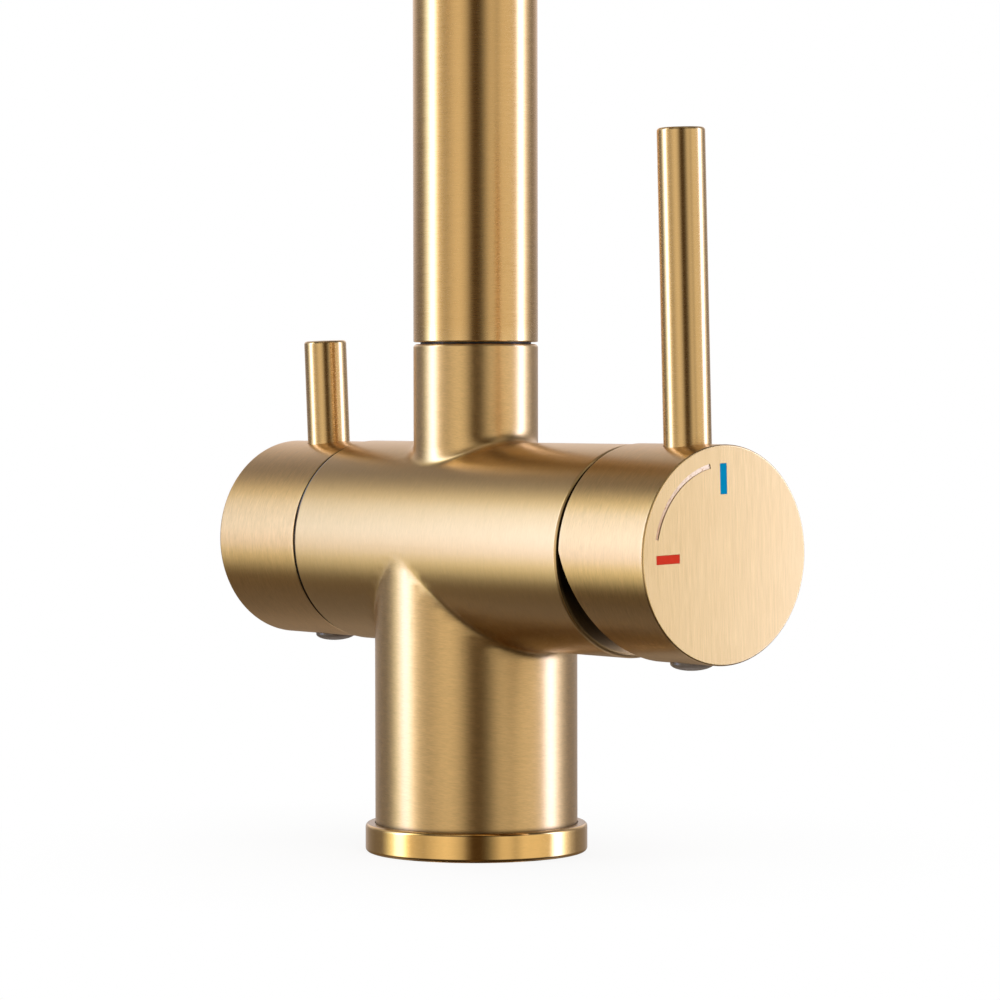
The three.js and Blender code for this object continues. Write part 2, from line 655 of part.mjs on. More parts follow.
function cartridgeHousing() {
  return alongX(turnedRing([
    [CARTRIDGE_RADIUS, fixedDiscStart],
    [CARTRIDGE_RADIUS, lipEnd],
    [CARTRIDGE_RADIUS - HOUSING_LIP_WIDTH, lipEnd],
    [CARTRIDGE_RADIUS - HOUSING_LIP_WIDTH, lipStart],
    [cartridgeInner, lipStart],
    [cartridgeInner, fixedDiscStart],
  ]));
}

function cartridgeNut() {
  const blank = join(
    rod(CARTRIDGE_NUT_RADIUS, nutStart, nutShoulder, LARGE_TURN),
    hexBar(CARTRIDGE_NUT_HEX_ACROSS_FLATS, nutShoulder - SEAT_GAP, nutEnd),
  );
  const bore = rod(CARTRIDGE_NUT_BORE_RADIUS, nutStart - CARTRIDGE_WALL, nutEnd + CARTRIDGE_WALL);
  return alongX(cut(blank, bore));
}

const sealStart = mixerSeat + SEAT_GAP;
const sealRadius = CARTRIDGE_RADIUS - SLIDE_GAP;
addPiece(
  crossAxis,
  'cartridge_base_seal',
  portedDisc(sealRadius, sealStart, sealStart + BASE_SEAL_THICKNESS),
  RUBBER,
);
addPiece(
  crossAxis,
  'cartridge_base',
  portedDisc(CARTRIDGE_RADIUS, baseStart, baseStart + BASE_THICKNESS),
  WHITE_PLASTIC,
);
addPiece(
  crossAxis,
  'ceramic_disc_fixed',
  portedDisc(cartridgeInner - SLIDE_GAP, fixedDiscStart, fixedDiscStart + FIXED_DISC_THICKNESS),
  CERAMIC,
);
addPiece(crossAxis, 'cartridge_housing', cartridgeHousing(), WHITE_PLASTIC);
addPiece(crossAxis, 'cartridge_nut', cartridgeNut(), RAW_BRASS);

// ---------------------------------------------------------------- mixer cartridge, moving pieces

const discOffset = -DISC_TRAVEL / 2;
const turretRadius = cartridgeInner - TURN_GAP;
const stemHalf = STEM_WIDTH / 2;
const tipStart = pivotX - STEM_TIP_REACH;

/** The sliding disc: a plate with a shallow mixing chamber on its sealing side. */
function movingDisc() {
  const chamberDepth = MOVING_DISC_THICKNESS / 2;
  const chamberRadius = MOVING_DISC_RADIUS - CARTRIDGE_PORT_RADIUS;
  const plate = rod(MOVING_DISC_RADIUS, movingDiscStart, movingDiscStart + MOVING_DISC_THICKNESS);
  const chamber = rod(
    chamberRadius,
    movingDiscStart - chamberDepth,
    movingDiscStart + chamberDepth,
    SMALL_TURN,
  );
  return moved(alongX(cut(plate, chamber)), 0, 0, discOffset);
}

/** The carrier that drives the disc, with the pocket that the stem's tip works in. */
function discCarrier() {
  const plate = moved(alongX(rod(MOVING_DISC_RADIUS, carrierStart, carrierEnd)), 0, 0, discOffset);
  const halfY = STEM_TIP_WIDTH / 2 + SLIDE_GAP;
  const halfZ = STEM_TIP_HEIGHT / 2 + TIP_PLAY;
  const pocketFloor = carrierEnd - TIP_POCKET_DEPTH;
  const pocket = box([pocketFloor, -halfY, -halfZ], [carrierEnd + TIP_POCKET_DEPTH, halfY, halfZ]);
  return cut(plate, pocket);
}

/** The turret turns in the housing and holds the pivot pin. */
function cartridgeTurret() {
  const halfY = stemHalf + SLIDE_GAP;
  const halfZ = stemHalf + TURRET_SLOT_PLAY;
  const slot = box([turretStart - stemHalf, -halfY, -halfZ], [turretEnd + stemHalf, halfY, halfZ]);
  const pinHole = moved(
    rod(PIVOT_PIN_RADIUS + SLIDE_GAP, -CARTRIDGE_RADIUS, CARTRIDGE_RADIUS, TINY_TURN).rotate([90, 0, 0]),
    pivotX,
    0,
    0,
  );
  return cut(alongX(rod(turretRadius, turretStart, turretEnd)), slot, pinHole);
}

function pivotPin() {
  const half = Math.min(PIVOT_PIN_LENGTH / 2, turretRadius - SLIDE_GAP);
  return moved(rod(PIVOT_PIN_RADIUS, -half, half, TINY_TURN).rotate([90, 0, 0]), pivotX, 0, 0);
}

/** The square stem: it tilts on the pivot pin, and the knob is clamped on its outer end. */
function leverStem() {
  const shoulder = tipStart + STEM_TIP_LENGTH;
  const end = mixerSocketEnd - SLIDE_GAP;
  const bar = box([shoulder, -stemHalf, -stemHalf], [end, stemHalf, stemHalf]);
  const tip = box(
    [tipStart, -STEM_TIP_WIDTH / 2, -STEM_TIP_HEIGHT / 2],
    [shoulder + SEAT_GAP, STEM_TIP_WIDTH / 2, STEM_TIP_HEIGHT / 2],
  );
  const hole = moved(
    rod(PIVOT_PIN_RADIUS + SLIDE_GAP, -STEM_WIDTH, STEM_WIDTH, SMALL_TURN).rotate([90, 0, 0]),
    pivotX,
    0,
    0,
  );
  return cut(join(bar, tip), hole);
}

addPiece(mixerLean, 'ceramic_disc_moving', movingDisc(), CERAMIC);
addPiece(mixerLean, 'disc_carrier', discCarrier(), DARK_PLASTIC);
addPiece(mixerLean, 'cartridge_turret', cartridgeTurret(), DARK_PLASTIC);
addPiece(mixerLean, 'stem_pivot_pin', pivotPin(), STEEL);
addPiece(mixerLean, 'lever_stem', leverStem(), STEEL);

// ---------------------------------------------------------------- knobs, levers and their screws

/** Depth, from the cross axis, of the seat that a lever pin's full width stands on. */
const pinSeat = (knobRadius) => knobRadius - PIN_SINK;

/** Holes that a knob has for its lever pin (up) and for its grub screw and plug (down). */
function knobHoles(knobRadius, pinRadius, x, socketHalf) {
  const seat = pinSeat(knobRadius);
  const past = 2 * knobRadius;
  const up = join(
    rod(pinRadius + SEAT_GAP, seat, past, SMALL_TURN),
    rod(PIN_THREAD_RADIUS + SLIDE_GAP, seat - PIN_THREAD_LENGTH - SEAT_GAP, seat + SEAT_GAP, SMALL_TURN),
  );
  const down = join(
    rod(GRUB_SCREW_RADIUS + SLIDE_GAP, socketHalf / 2, past, SMALL_TURN),
    rod(PLUG_RADIUS + SLIDE_GAP, knobRadius - PLUG_SEAT_DEPTH, past, SMALL_TURN),
  );
  return [moved(up, x, 0, 0), moved(down.rotate([180, 0, 0]), x, 0, 0)];
}

/** A lever pin: a round bar with a threaded end, made upright on the cross axis. */
function leverPin(knobRadius, radius, reach, x) {
  const seat = pinSeat(knobRadius) + SEAT_GAP;
  const threadEnd = seat - PIN_THREAD_LENGTH;
  const profile = [
    [0, threadEnd],
    [PIN_THREAD_RADIUS, threadEnd],
    [PIN_THREAD_RADIUS, seat],
    [radius, seat],
    ...roundedCorner(radius - PIN_EDGE, reach - PIN_EDGE, PIN_EDGE, 0),
    [0, reach],
  ];
  return moved(turned(profile, SMALL_TURN), x, 0, 0);
}

/** Grub screw with a hexagon socket, pointing down from what it clamps. */
function grubScrew(clampedHalf, x) {
  const tip = clampedHalf + SEAT_GAP;
  const end = tip + GRUB_SCREW_LENGTH;
  const screw = cut(
    rod(GRUB_SCREW_RADIUS, tip, end, SMALL_TURN),
    hexBar(GRUB_SCREW_HEX, end - GRUB_SCREW_HEX, end + GRUB_SCREW_HEX),
  );
  return moved(screw.rotate([180, 0, 0]), x, 0, 0);
}

/** Domed plug that covers the grub screw's hole. */
function screwPlug(knobRadius, x) {
  const seat = knobRadius - PLUG_SEAT_DEPTH + SEAT_GAP;
  const profile = [
    [0, seat - PLUG_STEM_LENGTH],
    [GRUB_SCREW_RADIUS, seat - PLUG_STEM_LENGTH],
    [GRUB_SCREW_RADIUS, seat],
    [PLUG_RADIUS, seat],
    [PLUG_RADIUS, knobRadius],
  ];
  const domeSteps = 2 * EDGE_STEPS;
  for (let step = 1; step <= domeSteps; step += 1) {
    const angle = (Math.PI / 2) * (step / domeSteps);
    profile.push([PLUG_RADIUS * Math.cos(angle), knobRadius + PLUG_DOME_HEIGHT * Math.sin(angle)]);
  }
  return moved(turned(profile, SMALL_TURN).rotate([180, 0, 0]), x, 0, 0);
}

/** Bar mark on the mixer knob's face, at an angle from +Y to +Z. */
function barMark(deg, grow) {
  const low = [mixerKnobEnd - MARK_DEPTH - grow, MARK_INNER_RADIUS - grow, -MARK_WIDTH / 2 - grow];
  const outerRadius = MARK_INNER_RADIUS + MARK_LENGTH + grow;
  const high = [mixerKnobEnd + (grow > 0 ? MARK_DEPTH : 0), outerRadius, MARK_WIDTH / 2 + grow];
  return box(low, high).rotate([deg, 0, 0]);
}

/** Engraved arc between the two marks, thinner towards the warm end. */
function arcEngraving() {
  const steps = TINY_TURN;
  const rim = (side) => {
    const points = [];
    for (let step = 0; step <= steps; step += 1) {
      const share = step / steps;
      const angle = radians(THREE.MathUtils.lerp(ARC_START_DEG, ARC_END_DEG, share));
      const width = THREE.MathUtils.lerp(ARC_START_WIDTH, ARC_END_WIDTH, share);
      const radius = ARC_RADIUS + (side * width) / 2;
      points.push(new THREE.Vector2(radius * Math.cos(angle), radius * Math.sin(angle)));
    }
    return points;
  };
  const outline = new THREE.Shape([...rim(1), ...rim(-1).reverse()]);
  const geometry = new THREE.ExtrudeGeometry(outline, { depth: 2 * ARC_DEPTH, bevelEnabled: false });
  const toFace = new THREE.Matrix4().makeBasis(
    new THREE.Vector3(0, 1, 0),
    new THREE.Vector3(0, 0, 1),
    new THREE.Vector3(1, 0, 0),
  );
  geometry.applyMatrix4(toFace);
  geometry.translate(mixerKnobEnd - ARC_DEPTH, 0, 0);
  return solid(geometry);
}

const COLD_MARK_DEG = 90;
const HOT_MARK_DEG = 180;

/** Solid knob about Z with a rounded edge at both ends. */
const knobBlank = (radius, start, startEdge, end, endEdge) =>
  turned([
    [0, start],
    ...roundedCorner(radius - startEdge, start + startEdge, startEdge, -90),
    ...roundedCorner(radius - endEdge, end - endEdge, endEdge, 0),
    [0, end],
  ], LARGE_TURN);

function mixerKnob() {
  const outside = knobBlank(
    MIXER_KNOB_RADIUS,
    mixerKnobStart,
    MIXER_KNOB_EDGE,
    mixerKnobEnd,
    MIXER_KNOB_EDGE,
  );
  const cavityEnd = mixerKnobStart + MIXER_CAVITY_DEPTH;
  const cavity = ring(
    MIXER_KNOB_RADIUS - KNOB_WALL,
    MIXER_BOSS_RADIUS,
    mixerKnobStart - MIXER_CAVITY_DEPTH,
    cavityEnd,
    MEDIUM_TURN,
  );
  const bossRecess = rod(
    MIXER_BOSS_RADIUS + SEAT_GAP,
    mixerKnobStart - MIXER_CAVITY_DEPTH,
    cavityEnd - MIXER_BOSS_LENGTH,
    MEDIUM_TURN,
  );
  const half = stemHalf + SLIDE_GAP;
  const socket = box([mixerKnobStart, -half, -half], [mixerSocketEnd, half, half]);

  const reliefSize = 4 * MIXER_KNOB_RADIUS;
  const relief = moved(
    box([-reliefSize, -reliefSize, -reliefSize], [0, reliefSize, 0]).rotate([0, -RELIEF_ANGLE_DEG, 0]),
    mixerKnobStart,
    0,
    RELIEF_START,
  );
  return cut(
    alongX(outside),
    alongX(cavity),
    alongX(bossRecess),
    socket,
    relief,
    ...knobHoles(MIXER_KNOB_RADIUS, MIXER_PIN_RADIUS, mixerPinX, half),
    barMark(COLD_MARK_DEG, MARK_GAP),
    barMark(HOT_MARK_DEG, MARK_GAP),
    arcEngraving(),
  );
}

function filterKnob() {
  const outside = knobBlank(
    FILTER_KNOB_RADIUS,
    filterKnobStart,
    MIXER_KNOB_EDGE,
    filterKnobEnd,
    FILTER_KNOB_EDGE,
  );
  const cavity = rod(
    FILTER_KNOB_RADIUS - KNOB_WALL,
    filterKnobStart - FILTER_CAVITY_DEPTH,
    filterKnobStart + FILTER_CAVITY_DEPTH,
    MEDIUM_TURN,
  );
  const socketRadius = SPINDLE_RADIUS + SLIDE_GAP;
  const socket = rod(socketRadius, filterKnobStart, filterSocketEnd, SMALL_TURN);
  return cut(
    alongMinusX(outside),
    alongMinusX(cavity),
    alongMinusX(socket),
    ...knobHoles(FILTER_KNOB_RADIUS, FILTER_PIN_RADIUS, -filterPinX, socketRadius),
  );
}

addPiece(mixerLean, 'mixer_knob', mixerKnob(), BRUSHED_BRASS);
addPiece(
  mixerLean,
  'mixer_lever_pin',
  leverPin(MIXER_KNOB_RADIUS, MIXER_PIN_RADIUS, MIXER_PIN_REACH, mixerPinX),
  BRUSHED_BRASS,
);
addPiece(mixerLean, 'mixer_grub_screw', grubScrew(stemHalf, mixerPinX), STEEL);
addPiece(mixerLean, 'mixer_screw_plug', screwPlug(MIXER_KNOB_RADIUS, mixerPinX), GREY_PLUG);
addPiece(mixerLean, 'cold_mark', barMark(COLD_MARK_DEG, 0), BLUE_ENAMEL);
addPiece(mixerLean, 'hot_mark', barMark(HOT_MARK_DEG, 0), RED_ENAMEL);

addPiece(filterLean, 'filter_knob', filterKnob(), BRUSHED_BRASS);
addPiece(
  filterLean,
  'filter_lever_pin',
  leverPin(FILTER_KNOB_RADIUS, FILTER_PIN_RADIUS, FILTER_PIN_REACH, -filterPinX),
  BRUSHED_BRASS,
);
addPiece(filterLean, 'filter_grub_screw', grubScrew(SPINDLE_RADIUS, -filterPinX), STEEL);
addPiece(filterLean, 'filter_screw_plug', screwPlug(FILTER_KNOB_RADIUS, -filterPinX), GREY_PLUG);

// ---------------------------------------------------------------- filter valve

function valveSleeve() {
  const stemBore = SPINDLE_RADIUS + SLIDE_GAP;
  const blank = join(
    rod(VALVE_RADIUS, valveStart, valveHexStart + SEAT_GAP, SMALL_TURN),
    hexBar(VALVE_HEX_ACROSS_FLATS, valveHexStart, valveHexEnd),
  );
  const bores = [
    rod(valveInner, valveStart - VALVE_WALL, valveHexStart - SEAT_GAP),
    rod(stemBore, valveStart, valveHexEnd + VALVE_WALL, SMALL_TURN),
  ];
  const half = VALVE_DISC_PORT;
  const window = box(
    [-VALVE_RADIUS - half, -half, spindleStart],
    [VALVE_RADIUS + half, half, spindleStart + VALVE_WINDOW_LENGTH],
  );
  return alongMinusX(cut(blank, ...bores, window));
}

/** Ceramic disc of the quarter turn valve, with its half-moon port on one side. */
function valveDisc(start, side) {
  const radius = valveInner - SLIDE_GAP;
  const port = moved(
    rod(VALVE_DISC_PORT / 2, start - VALVE_DISC_PORT, start + 2 * VALVE_DISC_PORT, TINY_TURN),
    0,
    side * VALVE_DISC_PORT,
    0,
  );
  return alongMinusX(cut(rod(radius, start, start + VALVE_DISC_THICKNESS, SMALL_TURN), port));
}

function valveSpindle() {
  const guideEnd = valveHexStart - SEAT_GAP - SLIDE_GAP;
  const guideStart = Math.max(guideEnd - SPINDLE_GUIDE_LENGTH, spindleStart + VALVE_WINDOW_LENGTH);
  const end = filterSocketEnd - SLIDE_GAP;
  return alongMinusX(join(
    rod(SPINDLE_RADIUS, spindleStart, end, SMALL_TURN),
    rod(valveInner - SLIDE_GAP, guideStart, guideEnd),
  ));
}

addPiece(
  crossAxis,
  'filter_valve_seal',
  alongMinusX(ring(
    VALVE_RADIUS - SLIDE_GAP,
    VALVE_DISC_PORT,
    filterSeat + SEAT_GAP,
    filterSeat + SEAT_GAP + VALVE_SEAL_THICKNESS,
    SMALL_TURN,
  )),
  RUBBER,
);
addPiece(crossAxis, 'filter_valve_body', valveSleeve(), RAW_BRASS);
addPiece(crossAxis, 'filter_disc_fixed', valveDisc(valveStart, 1), CERAMIC);
addPiece(filterLean, 'filter_disc_moving', valveDisc(valveMovingStart, -1), CERAMIC);
addPiece(filterLean, 'filter_spindle', valveSpindle(), RAW_BRASS);

// ---------------------------------------------------------------- spout

/** Straight up, over the arch and down: the centre line between two heights. */
function gooseneck(startHeight, endHeight) {
  const path = new THREE.CurvePath();
  const point = (y, z) => new THREE.Vector3(0, y, z);
  path.add(new THREE.LineCurve3(point(0, startHeight), point(0, ARCH_CENTRE_HEIGHT)));
  const arch = new THREE.Curve();
  arch.getPoint = (t) => point(
    ARCH_RADIUS * (Math.cos(Math.PI * t) - 1),
    ARCH_CENTRE_HEIGHT + ARCH_RADIUS * Math.sin(Math.PI * t),
  );
  path.add(arch);
  const reach = -2 * ARCH_RADIUS;
  path.add(new THREE.LineCurve3(point(reach, ARCH_CENTRE_HEIGHT), point(reach, endHeight)));
  return path;
}

/** Pipe with an open bore along a path. */
function pipe(path, outer, inner, sides, steps) {
  const circle = (radius, count) => {
    const points = [];
    for (let k = 0; k < count; k += 1) {
      const angle = (2 * Math.PI * k) / count;
      points.push(new THREE.Vector2(radius * Math.cos(angle), radius * Math.sin(angle)));
    }
    return points;
  };
  const section = new THREE.Shape(circle(outer, sides));
  section.holes.push(new THREE.Path(circle(inner, sides)));
  return solid(new THREE.ExtrudeGeometry(section, { extrudePath: path, steps, bevelEnabled: false }));
}

/** Inserted end of the spout: it turns in the neck's bore and is fixed in the spout tube. */
function spoutSpigot() {
  const inner = spigotOuter - SPIGOT_WALL;
  const foot = neckFloor + SPIGOT_FOOT;
  const upper = spoutBore - PIPE_GAP;
  const blank = turnedRing([
    [inner, foot],
    [spigotOuter, foot],
    [spigotOuter, spoutFoot],
    [upper, spoutFoot],
    [upper, spoutFoot + SPIGOT_HEIGHT_IN_SPOUT],
    [inner, spoutFoot + SPIGOT_HEIGHT_IN_SPOUT],
  ]);
  const past = spigotOuter + NECK_WALL;
  const grooveDepth = 2 * O_RING_RADIUS;
  const grooveHalf = O_RING_RADIUS + SEAT_GAP;
  const grooves = oRingHeights().map((height) =>
    ring(past, spigotOuter - grooveDepth, height - grooveHalf, height + grooveHalf));
  const snapGroove = ring(
    past,
    spigotOuter - SNAP_RING_SHOULDER - SLIDE_GAP,
    snapRingHeight - SEAT_GAP,
    snapRingHeight + SNAP_RING_THICKNESS + SEAT_GAP,
  );
  return cut(blank, ...grooves, snapGroove);
}

const oRingHeights = () => [0, 1].map((k) => neckFloor + SPIGOT_FOOT + O_RING_FIRST + k * O_RING_PITCH);

function oRing(height) {
  const middle = spigotOuter - O_RING_RADIUS;
  const geometry = new THREE.TorusGeometry(middle, O_RING_RADIUS, O_RING_SIDES, MEDIUM_TURN);
  return moved(solid(geometry), 0, 0, height);
}

/** Split ring that keeps the spigot from being pulled out of the neck. */
function snapRing() {
  const inner = spigotOuter - SNAP_RING_SHOULDER;
  const outer = snapGrooveOuter - TURN_GAP;
  const whole = ring(outer, inner, snapRingHeight, snapRingHeight + SNAP_RING_THICKNESS);
  const half = outer * Math.tan(radians(SNAP_RING_OPENING_DEG / 2));
  const gap = box([-half, 0, snapRingHeight - outer], [half, 2 * outer, snapRingHeight + outer]);
  return cut(whole, gap);
}

const innerBore = INNER_TUBE_RADIUS - INNER_TUBE_WALL;
const tubeFoot = neckFloor + SEAT_GAP + NIPPLE_FLANGE_THICKNESS + SEAT_GAP;
const tubeEnd = outletHeight + NOZZLE_TOP_HEIGHT - NOZZLE_SOCKET_DEPTH + SEAT_GAP;

/** Feeds the inner tube from the casting; the tube turns round it. */
function filteredNipple() {
  const outer = innerBore - TURN_GAP;
  const flangeLow = neckFloor + SEAT_GAP;
  const bore = outer / 2;
  return turnedRing([
    [bore, flangeLow - NIPPLE_FOOT_LENGTH],
    [outer, flangeLow - NIPPLE_FOOT_LENGTH],
    [outer, flangeLow],
    [NIPPLE_FLANGE_RADIUS, flangeLow],
    [NIPPLE_FLANGE_RADIUS, flangeLow + NIPPLE_FLANGE_THICKNESS],
    [outer, flangeLow + NIPPLE_FLANGE_THICKNESS],
    [outer, flangeLow + NIPPLE_LENGTH],
    [bore, flangeLow + NIPPLE_LENGTH],
  ], TINY_TURN);
}

addPiece(
  tap,
  'spout_tube',
  pipe(gooseneck(spoutFoot, outletHeight), SPOUT_RADIUS, spoutBore, SPOUT_SIDES, SPOUT_STEPS),
  BRUSHED_BRASS,
);
addPiece(tap, 'spout_spigot', spoutSpigot(), RAW_BRASS);
addPiece(
  tap,
  'slip_ring',
  ring(slipRingOuter, spigotOuter + SLIDE_GAP, slipRingFloor + SEAT_GAP, spoutFoot - SEAT_GAP),
  DARK_PLASTIC,
);
oRingHeights().forEach((height, k) => addPiece(tap, `spigot_o_ring_${k + 1}`, oRing(height), RUBBER));
addPiece(tap, 'spout_snap_ring', snapRing(), STEEL);
addPiece(tap, 'filtered_water_nipple', filteredNipple(), RAW_BRASS);
addPiece(
  tap,
  'filtered_water_tube',
  pipe(gooseneck(tubeFoot, tubeEnd), INNER_TUBE_RADIUS, innerBore, TINY_TURN, SPOUT_STEPS),
  WHITE_PLASTIC,
);

// ---------------------------------------------------------------- outlet, made round its own axis

const collarTop = -AERATOR_SEAM;
const collarFoot = collarTop - AERATOR_COLLAR_HEIGHT;
const sleeveRadius = spoutBore - PIPE_GAP;
const sleeveTop = collarTop + AERATOR_SLEEVE_HEIGHT;
const aeratorInner = sleeveRadius - AERATOR_WALL;
const insertFoot = collarFoot + AERATOR_LIP_THICKNESS + SEAT_GAP;
const insertTop = insertFoot + AERATOR_INSERT_HEIGHT;

function aeratorHousing() {
  const collarRadius = SPOUT_RADIUS - AERATOR_COLLAR_STEP;
  return turnedRing([
    [aeratorInner - AERATOR_LIP, collarFoot],
    ...roundedCorner(collarRadius - BODY_EDGE, collarFoot + BODY_EDGE, BODY_EDGE, -90),
    [collarRadius, collarTop],
    [sleeveRadius, collarTop],
    [sleeveRadius, sleeveTop],
    [aeratorInner, sleeveTop],
    [aeratorInner, collarFoot + AERATOR_LIP_THICKNESS],
    [aeratorInner - AERATOR_LIP, collarFoot + AERATOR_LIP_THICKNESS],
  ]);
}

/** Plastic insert: a ring of jets round the filtered water nozzle. */
function aeratorInsert() {
  const outer = aeratorInner - SLIDE_GAP;
  const inner = NOZZLE_RADIUS + SLIDE_GAP;
  const jetCircle = (outer + inner) / 2;
  const jets = [];
  for (let k = 0; k < JET_COUNT; k += 1) {
    const angle = (2 * Math.PI * k) / JET_COUNT;
    const jet = rod(JET_RADIUS, insertFoot - JET_RADIUS, insertTop + JET_RADIUS, JET_SIDES);
    jets.push(moved(jet, jetCircle * Math.cos(angle), jetCircle * Math.sin(angle), 0));
  }
  return cut(ring(outer, inner, insertFoot, insertTop), ...jets);
}

/** Flat seal between the aerator's sleeve and the spout. */
function aeratorSeal() {
  const foot = sleeveTop + SEAT_GAP;
  return ring(sleeveRadius - SLIDE_GAP, aeratorInner - AERATOR_LIP, foot, foot + AERATOR_SEAL_THICKNESS);
}

function filteredNozzle() {
  const flangeLow = insertTop + SEAT_GAP;
  const socketFloor = NOZZLE_TOP_HEIGHT - NOZZLE_SOCKET_DEPTH;
  const socket = INNER_TUBE_RADIUS + SLIDE_GAP;
  return turnedRing([
    [innerBore, collarFoot + SEAT_GAP],
    [NOZZLE_RADIUS, collarFoot + SEAT_GAP],
    [NOZZLE_RADIUS, flangeLow],
    [NOZZLE_FLANGE_RADIUS, flangeLow],
    [NOZZLE_FLANGE_RADIUS, flangeLow + NOZZLE_FLANGE_THICKNESS],
    [NOZZLE_RADIUS, flangeLow + NOZZLE_FLANGE_THICKNESS],
    [NOZZLE_RADIUS, NOZZLE_TOP_HEIGHT],
    [socket, NOZZLE_TOP_HEIGHT],
    [socket, socketFloor],
    [innerBore, socketFloor],
  ], SMALL_TURN);
}

addPiece(outlet, 'aerator_housing', aeratorHousing(), BRUSHED_BRASS);
addPiece(outlet, 'aerator_insert', aeratorInsert(), WHITE_PLASTIC);
addPiece(outlet, 'aerator_seal', aeratorSeal(), RUBBER);
addPiece(outlet, 'filtered_nozzle', filteredNozzle(), WHITE_PLASTIC);

export default tap;
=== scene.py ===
"""Three way filtered water tap in brushed brass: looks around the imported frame."""

import json
import math

import bmesh
import bpy
import numpy as np
from mathutils import Matrix, Vector
from mathutils.kdtree import KDTree


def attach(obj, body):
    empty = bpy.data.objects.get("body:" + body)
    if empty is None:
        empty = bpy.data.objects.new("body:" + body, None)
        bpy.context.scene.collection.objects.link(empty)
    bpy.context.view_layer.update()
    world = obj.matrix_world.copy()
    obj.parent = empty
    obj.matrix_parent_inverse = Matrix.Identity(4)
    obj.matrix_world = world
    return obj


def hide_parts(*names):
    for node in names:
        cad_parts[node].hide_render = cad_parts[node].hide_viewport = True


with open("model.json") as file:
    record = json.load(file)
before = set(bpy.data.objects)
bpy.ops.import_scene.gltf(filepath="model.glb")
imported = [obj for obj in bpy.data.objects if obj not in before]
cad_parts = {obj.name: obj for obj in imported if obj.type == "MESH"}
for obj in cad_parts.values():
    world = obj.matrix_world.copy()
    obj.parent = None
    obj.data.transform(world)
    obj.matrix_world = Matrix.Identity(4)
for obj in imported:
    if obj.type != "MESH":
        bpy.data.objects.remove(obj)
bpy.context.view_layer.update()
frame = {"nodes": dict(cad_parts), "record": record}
nodes = frame["nodes"]

MM = 0.001
X, Y, Z = np.eye(3)
TAU = 2 * math.pi

# ---- sizes in mm, as in the CAD apart from fillets, small rims and the height of the painted shade at the foot

COLUMN_R, CROSS_R, NECK_R = 22.77, 22.95, 14.0
AXIS_Z = 69.1
CROSS_LEFT, CROSS_RIGHT = 37.94, 54.64
NECK_TOP = 114.0
NECK_FILLET, COLUMN_FILLET = 3.0, 1.8
BRUSH_SLOPE = 0.08
BODY_EDGE, RIGHT_EDGE = 0.75, 1.0
COLUMN_FOOT, BODY_PITCH = 2.5, 3.0
FLANGE_R, FLANGE_H, FLANGE_EDGE, FOOT_SHADE = 25.0, 6.46, 0.9, 1.1
KNOB_R, KNOB_START, KNOB_END = 23.15, 55.40, 82.17
KNOB_PIN_X, KNOB_PIN_R, KNOB_PIN_REACH = 71.3, 5.1, 89.54
FILTER_R, FILTER_START, FILTER_END = 22.7, 38.39, 67.88
FILTER_PIN_X, FILTER_PIN_R, FILTER_PIN_REACH = 53.57, 4.93, 46.34
MIXER_LEAN, FILTER_LEAN = math.radians(1.65), math.radians(2.48)
# the spout's radius is a hair under the CAD's 14, so that rounding doesn't carry it past the CAD's box
SPOUT_R, SPOUT_BORE = 13.997, 12.6
SPOUT_FOOT, ARCH_Z, ARCH_R, OUTLET_Z = 114.46, 262.0, 98.0, 236.0
PLUG_R, PLUG_DOME = 4.7, 1.55
OUTLET_R = 13.9
BASE = (0, 0, 0)
CROSS = (0, 0, AXIS_Z)
# sides of turned pieces, from large to small
FINE, ROUND, SMALL = 288, 160, 64


def unit(v):
    return v / np.maximum(np.linalg.norm(v, axis=-1, keepdims=True), 1e-12)


# ---- profiles and turned surfaces


def arc(r, h, radius, start, end, steps=6):
    """Rounded corner: points with their own normals, (radius, height, normal r, normal h)."""
    out = []
    for k in range(steps + 1):
        a = math.radians(start + (end - start) * k / steps)
        out.append((r + radius * math.cos(a), h + radius * math.sin(a), math.cos(a), math.sin(a)))
    return out


def low_rim(radius, height, edge, steps=6):
    return arc(radius - edge, height + edge, edge, -90, 0, steps)


def high_rim(radius, height, edge, steps=6):
    return arc(radius - edge, height - edge, edge, 0, 90, steps)


def tube_profile(inner, outer, low, high):
    return [(inner, low), (outer, low), (outer, high), (inner, high)]


def grid_faces(rows, sides, closed=False):
    """Four-sided faces between rows of points that run round."""
    faces = []
    for i in range(rows if closed else rows - 1):
        j = (i + 1) % rows
        for k in range(sides):
            n = (k + 1) % sides
            faces.append((i * sides + k, i * sides + n, j * sides + n, j * sides + k))
    return faces


def steps_of(profile, closed):
    """Each point of a profile with the next one."""
    return list(zip(profile, profile[1:])) + ([(profile[-1], profile[0])] if closed else [])


def stepped(profile, closed=False, pitch=8.0):
    """The profile with more points on its long steps, closest together near their ends."""
    out = []
    for a, b in steps_of(profile, closed):
        out.append(a)
        start, end = np.array(a[:2], float), np.array(b[:2], float)
        length = np.linalg.norm(end - start)
        near = [d for d in (0.7, 1.5, 3.0) if d < 0.4 * length]
        middle = []
        if length > 2 * pitch:
            middle = np.linspace(3.0, length - 3.0, int(length / pitch) + 1)[1:-1]
        for d in [*near, *middle, *[length - d for d in reversed(near)]]:
            out.append(tuple(start + (end - start) * d / length))
    return out if closed else [*out, profile[-1]]


